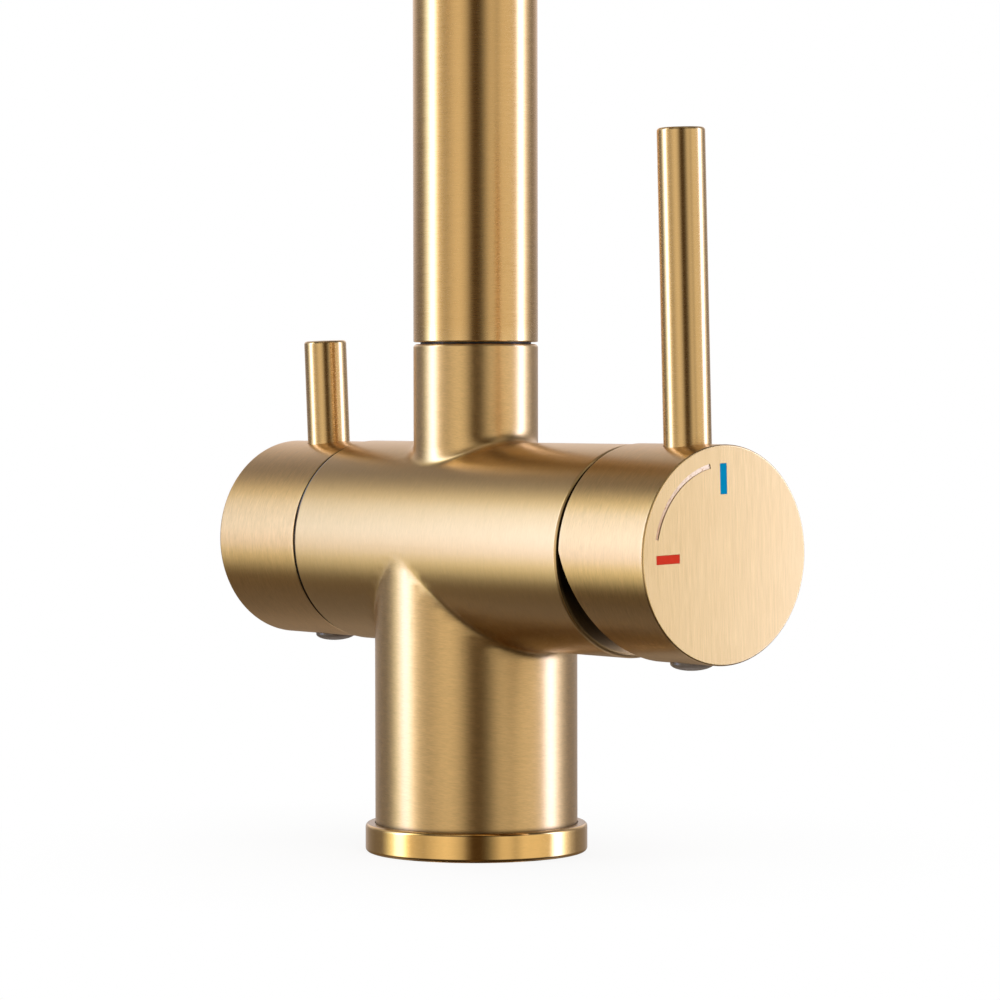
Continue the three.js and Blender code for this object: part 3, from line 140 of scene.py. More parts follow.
def segments_of(profile, closed):
    """Each straight step of a profile, with the normal at both of its ends."""
    out = []
    for a, b in steps_of(profile, closed):
        d = np.array([b[0] - a[0], b[1] - a[1]], float)
        if np.linalg.norm(d) < 1e-9:
            continue
        flat = np.array([d[1], -d[0]]) / np.linalg.norm(d)
        # a point's own normal counts where it fits the step
        na, nb = (v[2:] if len(v) > 2 and np.dot(v[2:], flat) > 0.8 else flat for v in (a, b))
        out.append((a[:2], b[:2], na, nb))
    return out


def turned_round(points, axis, origin):
    """Distance from an axis, height along it and direction away from it, of some points."""
    rel = points - np.array(origin, float)
    h = rel @ np.array(axis, float)
    radial = rel - h[:, None] * np.array(axis, float)
    return np.linalg.norm(radial, axis=1), h, unit(radial)


class Turned:
    """A surface turned about an axis. It makes its mesh and knows the true normal near it."""

    def __init__(self, profile, axis=Z, origin=BASE, closed=False, inside=False, pitch=8.0):
        self.axis = np.array(axis, float)
        self.origin = np.array(origin, float)
        self.u = np.array(Y if abs(self.axis[0]) > 0.5 else X, float)
        self.v = np.cross(self.axis, self.u)
        self.profile, self.closed = stepped(profile, closed, pitch), closed
        segments = zip(*segments_of(self.profile, closed))
        self.start, self.end, *self.ends = (np.array(v, float) for v in segments)
        self.sign = -1.0 if inside else 1.0

    def mesh(self, sides):
        angles = np.arange(sides) * TAU / sides
        ring = np.cos(angles)[:, None] * self.u + np.sin(angles)[:, None] * self.v
        rows = [self.origin + self.axis * p[1] + ring * p[0] for p in self.profile]
        return np.concatenate(rows), grid_faces(len(rows), sides, self.closed)

    def normal_at(self, out, t, na, nb):
        flat = unit(na * (1 - t[:, None]) + nb * t[:, None]) * self.sign
        return flat[:, :1] * out + flat[:, 1:] * self.axis

    def near(self, centres, normals):
        """Distance to the profile, and which of its steps is nearest, where the normals agree."""
        r, h, out = turned_round(centres, self.axis, self.origin)
        flat = np.stack([r, h], 1)
        best = np.full(len(centres), 9.0)
        step = np.zeros(len(centres), int)
        for k, (a, b, na, nb) in enumerate(zip(self.start, self.end, *self.ends)):
            d = b - a
            t = np.clip(((flat - a) @ d) / (d @ d), 0, 1)
            gap = np.linalg.norm(flat - (a + t[:, None] * d), axis=1)
            gap = np.where((self.normal_at(out, t, na, nb) * normals).sum(1) > 0.75, gap, 9.0)
            closer = gap < best
            best[closer], step[closer] = gap[closer], k
        return best, step

    def normals(self, points, step):
        r, h, out = turned_round(points, self.axis, self.origin)
        a, na, nb = self.start[step], self.ends[0][step], self.ends[1][step]
        d = self.end[step] - a
        t = np.clip(((np.stack([r, h], 1) - a) * d).sum(1) / (d * d).sum(1), 0, 1)
        return self.normal_at(out, t, na, nb)


class Fillet:
    """Rolled fillet between an upright and the cross body, above (side 1) or below (side -1) it."""

    def __init__(self, upright, side, radius, steps=360):
        self.upright, self.side, self.radius = upright, side, radius
        turn = np.arange(steps) * TAU / steps
        self.out = np.stack([np.cos(turn), np.sin(turn), 0 * turn], 1)
        spine = self.out * (upright + radius)
        reach = (CROSS_R + radius) ** 2 - spine[:, 1] ** 2
        spine[:, 2] = side * np.sqrt(np.maximum(reach, 0))
        self.to_cross = unit(np.stack([0 * turn, -spine[:, 1], -spine[:, 2]], 1))
        self.spine = spine + Z * AXIS_Z

    def mesh(self, across=14):
        depth = 2 * self.radius + BODY_EDGE
        rows = [self.spine - self.out * depth]
        angle = np.arccos(np.clip((-self.out * self.to_cross).sum(1), -1, 1))[:, None]
        # equal turns along the arc
        for t in np.linspace(0, 1, across + 1):
            ray = (-self.out * np.sin((1 - t) * angle) + self.to_cross * np.sin(t * angle)) / np.sin(angle)
            rows.append(self.spine + ray * self.radius)
        rows.append(self.spine + self.to_cross * depth)
        return np.concatenate(rows), grid_faces(len(rows), len(self.spine), True)

    def nearest(self, points):
        best = np.full(len(points), 1e9)
        where = np.zeros((len(points), 3))
        a = self.spine
        d = np.roll(a, -1, 0) - a
        for low in range(0, len(points), 4000):
            p = points[low : low + 4000, None, :]
            t = np.clip(((p - a) * d).sum(2) / (d * d).sum(1), 0, 1)
            q = a + t[..., None] * d
            gap = np.linalg.norm(p - q, axis=2)
            k = gap.argmin(1)
            rows = np.arange(len(k))
            best[low : low + 4000] = gap[rows, k]
            where[low : low + 4000] = q[rows, k]
        return best, where

    def near(self, centres, normals):
        away = np.hypot(centres[:, 0], centres[:, 1]) - self.upright
        height = (centres[:, 2] - AXIS_Z) * self.side
        pick = np.flatnonzero((away > -0.2) & (away < self.radius + 0.2) & (height > -0.2))
        gap, where = self.nearest(centres[pick])
        agree = ((where - centres[pick]) * normals[pick]).sum(1) / np.maximum(gap, 1e-9) > 0.75
        best = np.full(len(centres), 9.0)
        best[pick] = np.where(agree, np.abs(gap - self.radius), 9.0)
        return best, np.zeros(len(centres), int)

    def normals(self, points, step):
        return unit(self.nearest(points)[1] - points)


def barrel(radius, low, high, edges, axis, steps=(6, 6), pitch=8.0):
    """Round body along the cross axis, with rounded rims."""
    rims = low_rim(radius, low, edges[0], steps[0]) + high_rim(radius, high, edges[1], steps[1])
    return Turned([(0, low), *rims, (0, high)], axis, CROSS, pitch=pitch)


# ---- mesh making


def sharp_edged(obj, degrees):
    obj.data.shade_smooth()
    obj.data.set_sharp_from_angle(angle=math.radians(degrees))
    return obj


def placed(name, data):
    obj = bpy.data.objects.new(name, data)
    bpy.context.scene.collection.objects.link(obj)
    return obj


def raw_object(name, points, faces):
    mesh = bpy.data.meshes.new(name)
    mesh.from_pydata((np.asarray(points) * MM).tolist(), [], faces)
    mesh.validate()
    return placed(name, mesh)


def read(source, field, width=1, kind=float):
    """One field of all points, faces or corners of a mesh."""
    values = np.zeros(len(source) * width, kind)
    source.foreach_get(field, values)
    return values.reshape(-1, width) if width > 1 else values


def faced_out(obj):
    """Joins coinciding points and turns the faces of a closed mesh outward."""
    bm = bmesh.new()
    bm.from_mesh(obj.data)
    bmesh.ops.remove_doubles(bm, verts=bm.verts, dist=1e-8)
    bmesh.ops.recalc_face_normals(bm, faces=bm.faces)
    if bm.calc_volume(signed=True) < 0:
        bmesh.ops.reverse_faces(bm, faces=bm.faces)
    bm.to_mesh(obj.data)
    bm.free()
    return obj


def solid_of(name, maker, *args):
    points, faces = maker.mesh(*args)
    return faced_out(raw_object(name, points, faces))


def block(name, low, high, turn=np.eye(3), at=BASE):
    """Box between two corners, turned and then moved."""
    low, high = np.array(low, float), np.array(high, float)
    corners = np.indices((2, 2, 2)).reshape(3, 8).T
    points = (low + corners * (high - low)) @ np.array(turn).T
    faces = [(0, 1, 3, 2), (4, 6, 7, 5), (0, 4, 5, 1), (2, 3, 7, 6), (0, 2, 6, 4), (1, 5, 7, 3)]
    return faced_out(raw_object(name, points + np.array(at, float), faces))


def combine(name, base, joined=(), cut=()):
    """Base with some solids joined to it and others cut from it."""
    for operation, others in (("UNION", joined), ("DIFFERENCE", cut)):
        for other in others:
            step = base.modifiers.new(operation, "BOOLEAN")
            step.operation, step.solver, step.object = operation, "MANIFOLD", other
    bpy.context.view_layer.update()
    depsgraph = bpy.context.evaluated_depsgraph_get()
    result = placed(name, bpy.data.meshes.new_from_object(base.evaluated_get(depsgraph)))
    for other in (base, *joined, *cut):
        bpy.data.objects.remove(other)
    return result


def shaded(obj, surfaces, tolerance=0.03):
    """Gives each corner the true normal of the surface that its face lies on."""
    mesh = obj.data
    count = len(mesh.polygons)
    centres, normals = read(mesh.polygons, "center", 3) / MM, read(mesh.polygons, "normal", 3)
    best = np.full(count, tolerance)
    owner, step = np.full(count, -1), np.zeros(count, int)
    for k, surface in enumerate(surfaces):
        gap, at = surface.near(centres, normals)
        closer = gap < best
        best[closer], owner[closer], step[closer] = gap[closer], k, at[closer]
    face_of = np.repeat(np.arange(count), read(mesh.polygons, "loop_total", 1, int))
    corner = points_of(obj)[read(mesh.loops, "vertex_index", 1, int)]
    result = normals[face_of].copy()
    for k, surface in enumerate(surfaces):
        pick = owner[face_of] == k
        if pick.any():
            result[pick] = surface.normals(corner[pick], step[face_of][pick])
    mesh.shade_smooth()
    mesh.normals_split_custom_set(result.tolist())
    return centres, normals, owner


def points_of(obj):
    return read(obj.data.vertices, "co", 3) / MM


def mark(obj, name, values, domain="POINT"):
    """Stores one number or vector for each vertex, or one number for each face."""
    values = np.asarray(values, np.float32)
    kind, field = ("FLOAT_VECTOR", "vector") if values.ndim == 2 else ("FLOAT", "value")
    layer = obj.data.attributes.get(name) or obj.data.attributes.new(name, kind, domain)
    layer.data.foreach_set(field, values.ravel())


def read_mark(obj, name):
    return read(obj.data.attributes[name].data, "vector", 3, np.float32)


def turned_grain(points, axis, origin, radius):
    """Groove direction and grain coordinates of a piece brushed round an axis."""
    r, h, out = turned_round(points, axis, origin)
    side = Y if abs(axis[0]) > 0.5 else X
    other = np.cross(axis, side)
    across = h + (radius - r)
    grain = np.stack([out @ side * radius, out @ other * radius, across], 1)
    return np.cross(axis, out), grain


def brushed(obj, axis, origin, radius, rims=()):
    """Marks a piece as brushed round an axis. Rims are (radius, height) circles that wear and get a painted
    sheen.
    """
    points = points_of(obj)
    groove, grain = turned_grain(points, np.array(axis, float), origin, radius)
    mark(obj, "groove", groove)
    mark(obj, "grain", grain)
    mark(obj, "wear_and_sheen", wear_and_sheen_near(points, axis, origin, rims))


def wear_and_sheen_near(points, axis, origin, rims):
    r, h, _ = turned_round(points, axis, origin)
    wear_and_sheen = np.zeros(len(points))
    for rim_r, rim_h in rims:
        wear_and_sheen = np.maximum(wear_and_sheen, np.exp(-(np.hypot(r - rim_r, h - rim_h) / 0.6) ** 2))
    return wear_and_sheen


def leaned(obj, lean):
    """Turns a finished piece about the cross axis, with its grooves."""
    centre = Vector((0, 0, AXIS_Z * MM))
    turn = Matrix.Rotation(lean, 4, "X")
    obj.data.transform(Matrix.Translation(centre) @ turn @ Matrix.Translation(-centre))
    mark(obj, "groove", read_mark(obj, "groove") @ np.array(turn.to_3x3()).T)
    return obj


def fitted(obj, body, slot, materials, *replaced):
    """Puts a finished piece on its body, with its finish, in place of CAD nodes."""
    index = read(obj.data.polygons, "material_index", 1, np.int32)
    obj.data.materials.clear()
    for material in materials:
        obj.data.materials.append(material)
    obj.data.polygons.foreach_set("material_index", np.minimum(index, len(materials) - 1))
    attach(obj, body)
    if replaced:
        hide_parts(*replaced)


# ---- node helpers


class Nodes:
    """Short hand for building the nodes of one material or world."""

    def __init__(self, holder):
        holder.use_nodes = True
        self.holder = holder
        self.tree = holder.node_tree
        self.tree.nodes.clear()

    def put(self, node, sockets):
        """Gives each socket a value or another node's output."""
        for key, item in sockets.items():
            if isinstance(item, bpy.types.NodeSocket):
                self.tree.links.new(item, node.inputs[key])
            else:
                node.inputs[key].default_value = item
        return node

    def add(self, kind, sockets=None, **settings):
        node = self.tree.nodes.new("ShaderNode" + kind)
        for key, value in settings.items():
            setattr(node, key, value)
        return self.put(node, sockets or {})

    def attribute(self, name, output="Fac"):
        return self.add("Attribute", attribute_name=name).outputs[output]

    def noise(self, vector, scale, detail, rough, distortion=0.0):
        sockets = {"Vector": vector, "Scale": scale, "Detail": detail, "Roughness": rough}
        return self.add("TexNoise", {**sockets, "Distortion": distortion}).outputs["Fac"]

    def strokes(self, attribute, along, across, *values):
        """Noise drawn out along the grooves. Along and across are counts per mm."""
        sockets = {"Vector": self.attribute(attribute, "Vector"), "Scale": (along, along, across)}
        mapping = self.add("Mapping", sockets, vector_type="POINT")
        return self.noise(mapping.outputs["Vector"], 1.0, *values)

    def math(self, operation, a, b, c=0.0):
        return self.add("Math", {0: a, 1: b, 2: c}, operation=operation).outputs[0]

    def span(self, source, low, high, to_low, to_high):
        sockets = {"Value": source, "From Min": low, "From Max": high, "To Min": to_low, "To Max": to_high}
        return self.add("MapRange", sockets, clamp=True).outputs["Result"]

    def mix(self, factor, a, b):
        return self.add("Mix", {"Factor": factor, 6: a, 7: b}, data_type="RGBA").outputs[2]

    def bump(self, height, strength, distance):
        sockets = {"Height": height, "Strength": strength, "Distance": distance}
        return self.add("Bump", sockets).outputs["Normal"]

    def principled(self, base, rough, values, links):
        """Shader whose plain colour and roughness stay under the linked ones."""
        node = self.add("BsdfPrincipled", {"Base Color": rgba(*base), "Roughness": rough, **values})
        return self.put(node, links).outputs[0]

    def light(self, kind, colour, strength):
        return self.add(kind, {"Color": colour, "Strength": strength}).outputs[0]

    def blend(self, factor, a, b):
        return self.add("MixShader", {0: factor, 1: a, 2: b}).outputs[0]

    def finish(self, shader, output="OutputMaterial"):
        self.add(output, {"Surface": shader})
        return self.holder


def rgba(r, g, b):
    return (r, g, b, 1.0)


def material_nodes(name):
    return Nodes(bpy.data.materials.new(name))


def etched_tone(n, colour):
    """Dark walls and a pale, patchy floor where a face is engraved."""
    etch = n.attribute("etch")
    patch = n.strokes("grain", 1.6, 2.4, 3.0, 0.7)
    pale = n.math("MULTIPLY", n.span(patch, 0.38, 0.5, 0.2, 1.0), n.span(etch, 1.3, 1.9, 1.0, 0.25))
    floor = n.mix(pale, rgba(0.50, 0.29, 0.15), rgba(0.86, 0.70, 0.52))
    inside = n.mix(n.math("GREATER_THAN", etch, 0.75), rgba(0.34, 0.17, 0.07), floor)
    return n.mix(n.math("GREATER_THAN", etch, 0.25), colour, inside)


def brushed_metal(name, base, rough, anisotropy, fine, coarse, tone, relief, second=False, etched=False):
    """Brushed metal. Fine and coarse are stroke counts per mm, along and across the grooves."""
    n = material_nodes(name)
    a, b = n.strokes("grain", *fine, 2.0, 0.6), n.strokes("grain", *coarse, 2.0, 0.55, 0.15)
    if second:
        share = n.attribute("cross")
        a = n.span(share, 0.0, 1.0, a, n.strokes("grain_cross", *fine, 2.0, 0.6))
        b = n.span(share, 0.0, 1.0, b, n.strokes("grain_cross", *coarse, 2.0, 0.55, 0.15))
    both = n.math("MULTIPLY_ADD", a, 0.65, n.math("MULTIPLY", b, 0.35))
    if second:
        # the cross body is brushed more finely than the column
        both = n.span(share, 0.0, 1.0, both, n.math("MULTIPLY_ADD", both, 0.5, 0.25))
    cloud = n.noise(n.add("TexCoord").outputs["Object"], 90.0, 3.0, 0.55)
    rim_wear_and_sheen = n.math("MULTIPLY", n.attribute("wear_and_sheen"), n.span(cloud, 0.35, 0.65, 0.35, 1.0))

    dark = rgba(*(c * (1 - tone) for c in base))
    light = rgba(*(min(c * (1 + tone), 1.0) for c in base))
    colour = n.mix(n.span(both, 0.3, 0.7, 0.0, 1.0), dark, light)
    colour = n.mix(n.span(cloud, 0.3, 0.7, 0.0, 0.10), colour, rgba(base[0], base[1] * 0.93, base[2] * 0.82))
    # real wear and a painted sheen: rims are lighter and a little glossier
    colour = n.mix(n.math("MULTIPLY", rim_wear_and_sheen, 0.3), colour, rgba(0.93, 0.76, 0.48))
    if etched:
        colour = etched_tone(n, colour)
    # painted shade: marked faces are darkened towards black and made rougher, where gaps, bores and hollows
    # lie in shade
    painted_shade = n.attribute("painted_shade")
    colour = n.mix(n.math("MULTIPLY", painted_shade, 0.96), colour, rgba(0.02, 0.012, 0.006))
    level = n.span(both, 0.25, 0.75, rough - 0.03, rough + 0.03)
    level = n.math("MULTIPLY_ADD", rim_wear_and_sheen, -0.05, level)
    level = n.math("MULTIPLY_ADD", painted_shade, 0.2, level)
    groove = {0: n.attribute("groove", "Vector")}
    turn = n.add("VectorTransform", groove, vector_type="VECTOR", convert_from="OBJECT", convert_to="WORLD")
    # the gloss spreads across the grooves, a quarter turn from the tangent that follows them
    values = {"Metallic": 1.0, "Anisotropic": anisotropy, "Anisotropic Rotation": 0.25}
    normal = n.bump(both, relief, 0.00002)
    links = {"Base Color": colour, "Roughness": level, "Tangent": turn.outputs[0], "Normal": normal}
    return n.finish(n.principled(base, rough, values, links))


BRASS = (0.80, 0.54, 0.26)
CASTING = (0.80, 0.56, 0.285)
# KNOB and FACE are darker than the other brass tones: painted shade that tones down the highlights on the
# mixer knob and its face
KNOB = (0.765, 0.52, 0.25)
FILTER_TONE = (0.83, 0.56, 0.27)
FACE = (0.735, 0.54, 0.275)
FLANGE_TONE = (0.86, 0.565, 0.235)
RING_STEEL = (0.56, 0.56, 0.57)
BODY_STROKES = (0.7, 4.7), (0.25, 1.5)
TUBE_STROKES = (0.4, 5.5), (0.10, 1.6)
KNOB_STROKES = (0.6, 4.6), (0.15, 1.4)
FACE_STROKES = (0.16, 5.0), (0.05, 2.0)
FLANGE_STROKES = (0.8, 2.6), (0.15, 0.9)
body_brass = brushed_metal("brass_satin_casting", CASTING, 0.32, 0.55, *BODY_STROKES, 0.13, 0.6, second=True)
tube_brass = brushed_metal("brass_brushed_tube", BRASS, 0.28, 0.75, *TUBE_STROKES, 0.105, 0.12)
pin_brass = brushed_metal("brass_brushed_pin", CASTING, 0.28, 0.75, *TUBE_STROKES, 0.07, 0.06)
knob_brass = brushed_metal("brass_brushed_knob", KNOB, 0.31, 0.7, *KNOB_STROKES, 0.13, 0.35)
filter_brass = brushed_metal("brass_filter_knob", FILTER_TONE, 0.31, 0.7, *KNOB_STROKES, 0.13, 0.35)
ring_steel = brushed_metal("steel_gap_ring", RING_STEEL, 0.30, 0.5, *KNOB_STROKES, 0.06, 0.1)
face_brass = brushed_metal("brass_brushed_face", FACE, 0.22, 0.25, *FACE_STROKES, 0.068, 0.06, etched=True)
flange_brass = brushed_metal("brass_flange", FLANGE_TONE, 0.14, 0.3, *FLANGE_STROKES, 0.05, 0.12)


def plain_material(name, base, other, rough, metal, scale, relief, depth=0.00003, specular=0.5, coat=0.0):
    """Moulded, cast or machined finish: two close tones, uneven gloss and a fine relief."""
    n = material_nodes(name)
    at = n.add("TexCoord").outputs["Object"]
    a, b = n.noise(at, scale, 4.0, 0.6), n.noise(at, scale * 6, 2.0, 0.5)
    values = {"Metallic": metal, "Specular IOR Level": specular, "Coat Weight": coat, "Coat Roughness": 0.12}
    links = {
        "Base Color": n.mix(n.span(a, 0.3, 0.7, 0.0, 1.0), rgba(*base), rgba(*other)),
        "Roughness": n.span(b, 0.3, 0.7, rough * 0.85, rough * 1.15),
        "Normal": n.bump(n.math("MULTIPLY_ADD", b, 0.5, a), relief, depth),
    }
    return n.finish(n.principled(base, rough, values, links))


# two tones, roughness, metallic, grain scale and relief, then relief depth, specular and coat
PLAIN = {
    "raw_brass": ((0.62, 0.43, 0.18), (0.50, 0.33, 0.13), 0.34, 1.0, 300.0, 0.3),
    "steel": ((0.60, 0.61, 0.63), (0.50, 0.51, 0.53), 0.32, 1.0, 500.0, 0.25),
    "rubber": ((0.018, 0.018, 0.019), (0.030, 0.030, 0.031), 0.72, 0.0, 700.0, 0.4, 0.00005),
    "white_plastic": ((0.78, 0.77, 0.73), (0.72, 0.71, 0.67), 0.42, 0.0, 350.0, 0.2),
    "dark_plastic": ((0.030, 0.032, 0.036), (0.045, 0.048, 0.052), 0.45, 0.0, 350.0, 0.2),
    "ceramic": ((0.82, 0.80, 0.76), (0.76, 0.74, 0.70), 0.14, 0.0, 500.0, 0.1),
    "grey_plug": ((0.16, 0.125, 0.10), (0.125, 0.097, 0.078), 0.34, 0.0, 600.0, 0.15, 0.00003, 0.5, 0.3),
    "blue_enamel": ((0.0, 0.25, 0.50), (0.0, 0.22, 0.46), 0.6, 0.0, 900.0, 0.15, 0.00003, 0.02),
    "red_enamel": ((0.64, 0.042, 0.022), (0.58, 0.036, 0.018), 0.6, 0.0, 900.0, 0.15, 0.00003, 0.02),
}
finish = {name: plain_material(name, *values) for name, values in PLAIN.items()}
finish["brushed_brass"] = tube_brass

# ---- body casting


def rod(radius, low, high, axis=Z, origin=BASE):
    """Round cutter, whose surface is a bore's."""
    return Turned([(0, low), (radius, low), (radius, high), (0, high)], axis, origin, inside=True)


def crossing(points):
    """Height over the cross axis, distances from it and from the uprights' axis, and the upright's radius."""
    rel = points - CROSS
    upright = np.where(rel[:, 2] > 0, NECK_R, COLUMN_R)
    return rel[:, 2], np.hypot(rel[:, 1], rel[:, 2]), np.hypot(rel[:, 0], rel[:, 1]), upright


def hand_smoothed(body, owner, outside, reach=1.4):
    """Evens out the shading where the uprights meet the cross body, as polishing by hand does."""
    mesh = body.data
    verts = read(mesh.loops, "vertex_index", 1, int)
    skin = ((owner >= 0) & (owner < outside)).repeat(read(mesh.polygons, "loop_total", 1, int))
    given = read(mesh.corner_normals, "vector", 3)
    points = points_of(body)
    normal = np.zeros_like(points)
    normal[verts[skin]] = given[skin]
    height, off_axis, off_upright, upright = crossing(points)
    far = np.maximum(off_axis - CROSS_R, off_upright - upright)
    on_skin = np.linalg.norm(normal, axis=1) > 0.5
    near_joint = (off_upright < upright + 9) & (np.abs(height) < CROSS_R + 9)
    around = np.flatnonzero(on_skin & (far < NECK_FILLET + 2) & near_joint)
    tree = KDTree(len(around))
    for k, v in enumerate(around):
        tree.insert(points[v], k)
    tree.balance()
    result = normal.copy()
    for k, v in enumerate(around):
        found = np.array([(i, d) for _, i, d in tree.find_range(points[v], reach)])
        weight = np.exp(-((found[:, 1] / (0.55 * reach)) ** 2))
        near = normal[around[found[:, 0].astype(int)]]
        result[v] = (near * weight[:, None]).sum(0)
    given[skin] = unit(result)[verts[skin]]
    mesh.normals_split_custom_set(given.tolist())


# radius, start, end and direction of the casting's bores
CASTING_BORES = {
    "cartridge": (17.55, 15.0, 80.0, X, CROSS),
    "cartridge_nut": (19.35, 46.04, 80.0, X, CROSS),
    "valve": (9.95, 14.0, 60.0, -X, CROSS),
    "valve_counterbore": (15.0, 29.94, 60.0, -X, CROSS),
    "spigot": (11.0, 88.0, 130.0),
    "slip_ring": (12.65, 112.0, 130.0),
    "snap_ring": (12.0, 106.7, 108.5),
    "shank": (16.55, -10.0, 13.6),
    "column": (18.8, 13.6, 42.0),
}
INLET_R, INLET_FOOT, INLET_TOP, INLET_CIRCLE = 4.4, 39.4, 54.0, 8.2
INLET_TURNS = (-60, 60, 180)


def casting_surfaces():
    """The casting's outer surfaces and its bores."""
    # extra rows for the painted shade at the column's foot
    foot = [(COLUMN_R, FLANGE_H + FOOT_SHADE * k / 6) for k in range(7)]
    column_profile = [(0, COLUMN_FOOT), (COLUMN_R, COLUMN_FOOT), *foot, (COLUMN_R, AXIS_Z), (0, AXIS_Z)]
    column = Turned(column_profile, pitch=BODY_PITCH)
    neck_rim = high_rim(NECK_R, NECK_TOP, BODY_EDGE)
    neck = Turned([(0, AXIS_Z), (NECK_R, AXIS_Z), *neck_rim, (0, NECK_TOP)], pitch=BODY_PITCH)
    cross = barrel(CROSS_R, -CROSS_LEFT, CROSS_RIGHT, (BODY_EDGE, RIGHT_EDGE), X, (6, 10), BODY_PITCH)
    outside = [cross, column, neck, Fillet(NECK_R, 1, NECK_FILLET), Fillet(COLUMN_R, -1, COLUMN_FILLET)]
    bores = [rod(*values) for values in CASTING_BORES.values()]
    for turn in INLET_TURNS:
        a = math.radians(turn)
        place = (INLET_CIRCLE * math.cos(a), INLET_CIRCLE * math.sin(a), 0)
        bores.append(rod(INLET_R, INLET_FOOT, INLET_TOP, Z, place))
    return outside, bores


END_SHADE_FOOT, END_SHADE_RISE = 21, 14


def casting_shade(at, facing, owner, outside):
    """Painted shade: 1 inside and on the filter end, less on the mixer end's lower part and on the foot."""
    end = (at[:, 0] < BODY_EDGE - CROSS_LEFT) | (at[:, 0] > CROSS_RIGHT - RIGHT_EDGE)
    painted_shade = np.where((owner < 0) | (owner >= outside), 1.0, 0.0)
    # painted shade on the mixer end, darker upwards as its gap to the knob closes
    low_end = np.clip((at[:, 2] - AXIS_Z + END_SHADE_FOOT) / END_SHADE_RISE, 0.12, 1.0)
    painted_shade = np.where(end & (facing[:, 0] > 0.75), low_end, painted_shade)
    # painted shade over all of the filter end's face
    painted_shade = np.where(end & (facing[:, 0] < -0.45), 1.0, painted_shade)
    # painted shade on the foot of the column, just above the flange
    foot = (owner == 1) & (at[:, 2] < FLANGE_H + FOOT_SHADE)
    return np.where(foot, 0.6 * np.clip((FLANGE_H + FOOT_SHADE - at[:, 2]) / FOOT_SHADE, 0, 1) ** 2, painted_shade)


def casting_brushed(body):
    """The uprights are brushed round, the cross body round its own axis, with a soft change between."""
    points = points_of(body)
    up_groove, up_grain = turned_grain(points, Z, BASE, COLUMN_R)
    # the hand brushing of the column runs a little downhill
    up_grain[:, 2] += BRUSH_SLOPE * (points[:, 0] + points[:, 1])
    cross_groove, cross_grain = turned_grain(points, X, CROSS, CROSS_R)
    _, off_axis, off_upright, upright = crossing(points)
    to_cross = np.maximum(off_axis - CROSS_R, 0)
    to_upright = np.maximum(off_upright - upright, 0)
    share = to_upright / np.maximum(to_cross + to_upright, 1e-6)
    share = np.where((to_cross + to_upright < 1e-3) | (off_axis < CROSS_R - 0.02), 1.0, share)
    share = share * share * (3 - 2 * share)
    mark(body, "cross", share)
    mark(body, "grain", up_grain)
    mark(body, "grain_cross", cross_grain)
    mark(body, "groove", unit(up_groove * (1 - share[:, None]) + cross_groove * share[:, None]))
    wear_and_sheen = wear_and_sheen_near(points, X, CROSS, [(CROSS_R, -CROSS_LEFT), (CROSS_R, CROSS_RIGHT)])
    mark(body, "wear_and_sheen", np.maximum(wear_and_sheen, wear_and_sheen_near(points, Z, BASE, [(NECK_R, NECK_TOP)])))


def body_casting():
    outside, bores = casting_surfaces()
    joined = [solid_of("upright", surface, 360) for surface in outside[1:3]]
    joined += [solid_of("fillet", surface) for surface in outside[3:]]
    cuts = [solid_of("bore", bore, ROUND) for bore in bores]
    body = combine("tap_body_skin", solid_of("cross", outside[0], FINE), joined, cuts)
    at, facing, owner = shaded(body, [*outside, *bores])
    hand_smoothed(body, owner, len(outside))
    mark(body, "painted_shade", casting_shade(at, facing, owner, len(outside)), "FACE")
    casting_brushed(body)
    return body


fitted(body_casting(), "tap_base", "brushed_brass", [body_brass], "tap_body")


def turned_piece(name, profile, axis, origin, sides, radius, closed=False, rims=()):
    surface = Turned(profile, axis, origin, closed)
    piece = solid_of(name, surface, sides)
    shaded(piece, [surface])
    brushed(piece, axis, origin, radius, rims)
    return piece


# ---- flange

FLANGE_BORE, SEAT_R, SEAT_FLOOR = 16.7, 22.92, 2.4
SEAL_START, SEAL_END, SEAL_DEPTH = 18.65, 22.0, 1.3
flange_profile = [
    *[(FLANGE_BORE, 0), (SEAL_START, 0), (SEAL_START, SEAL_DEPTH), (SEAL_END, SEAL_DEPTH), (SEAL_END, 0)],
    *low_rim(FLANGE_R, 0, FLANGE_EDGE),
    *high_rim(FLANGE_R, FLANGE_H, FLANGE_EDGE),
    *[(SEAT_R, FLANGE_H), (SEAT_R, SEAT_FLOOR), (FLANGE_BORE, SEAT_FLOOR)],
]
flange_rims = [(FLANGE_R, FLANGE_H), (FLANGE_R, 0)]
flange = turned_piece("base_flange_skin", flange_profile, Z, BASE, FINE, FLANGE_R, True, flange_rims)
# painted shade on the narrow ring of its top, next to the column
shade_r = (FLANGE_R - 0.6 * FLANGE_EDGE) * MM
flange_tops = [face.normal.z > 0.9 and face.center.xy.length < shade_r for face in flange.data.polygons]
mark(flange, "painted_shade", np.where(flange_tops, 0.6, 0.0), "FACE")
fitted(flange, "tap_base", "brushed_brass", [flange_brass], "base_flange")

# ---- knobs, pins and plugs


# seat and stub of the lever pins, seat and stem of the screw plugs, and the play round them
PIN_SEAT, PIN_EDGE, STUB_R, STUB_LENGTH = 2.5, 0.7, 2.9, 8.0
PLUG_SEAT, STEM_R, STEM_LENGTH = 0.85, 2.4, 4.0
SCREW_R, SOCKET_HALF, PLAY, WIDE_PLAY = 2.55, 4.15, 0.1, 0.15


def handle_piece(name, profile, axis, sides, radius, x, lean, rims=()):
    return leaned(turned_piece(name, profile, axis, (x, 0, AXIS_Z), sides, radius, rims=rims), lean)


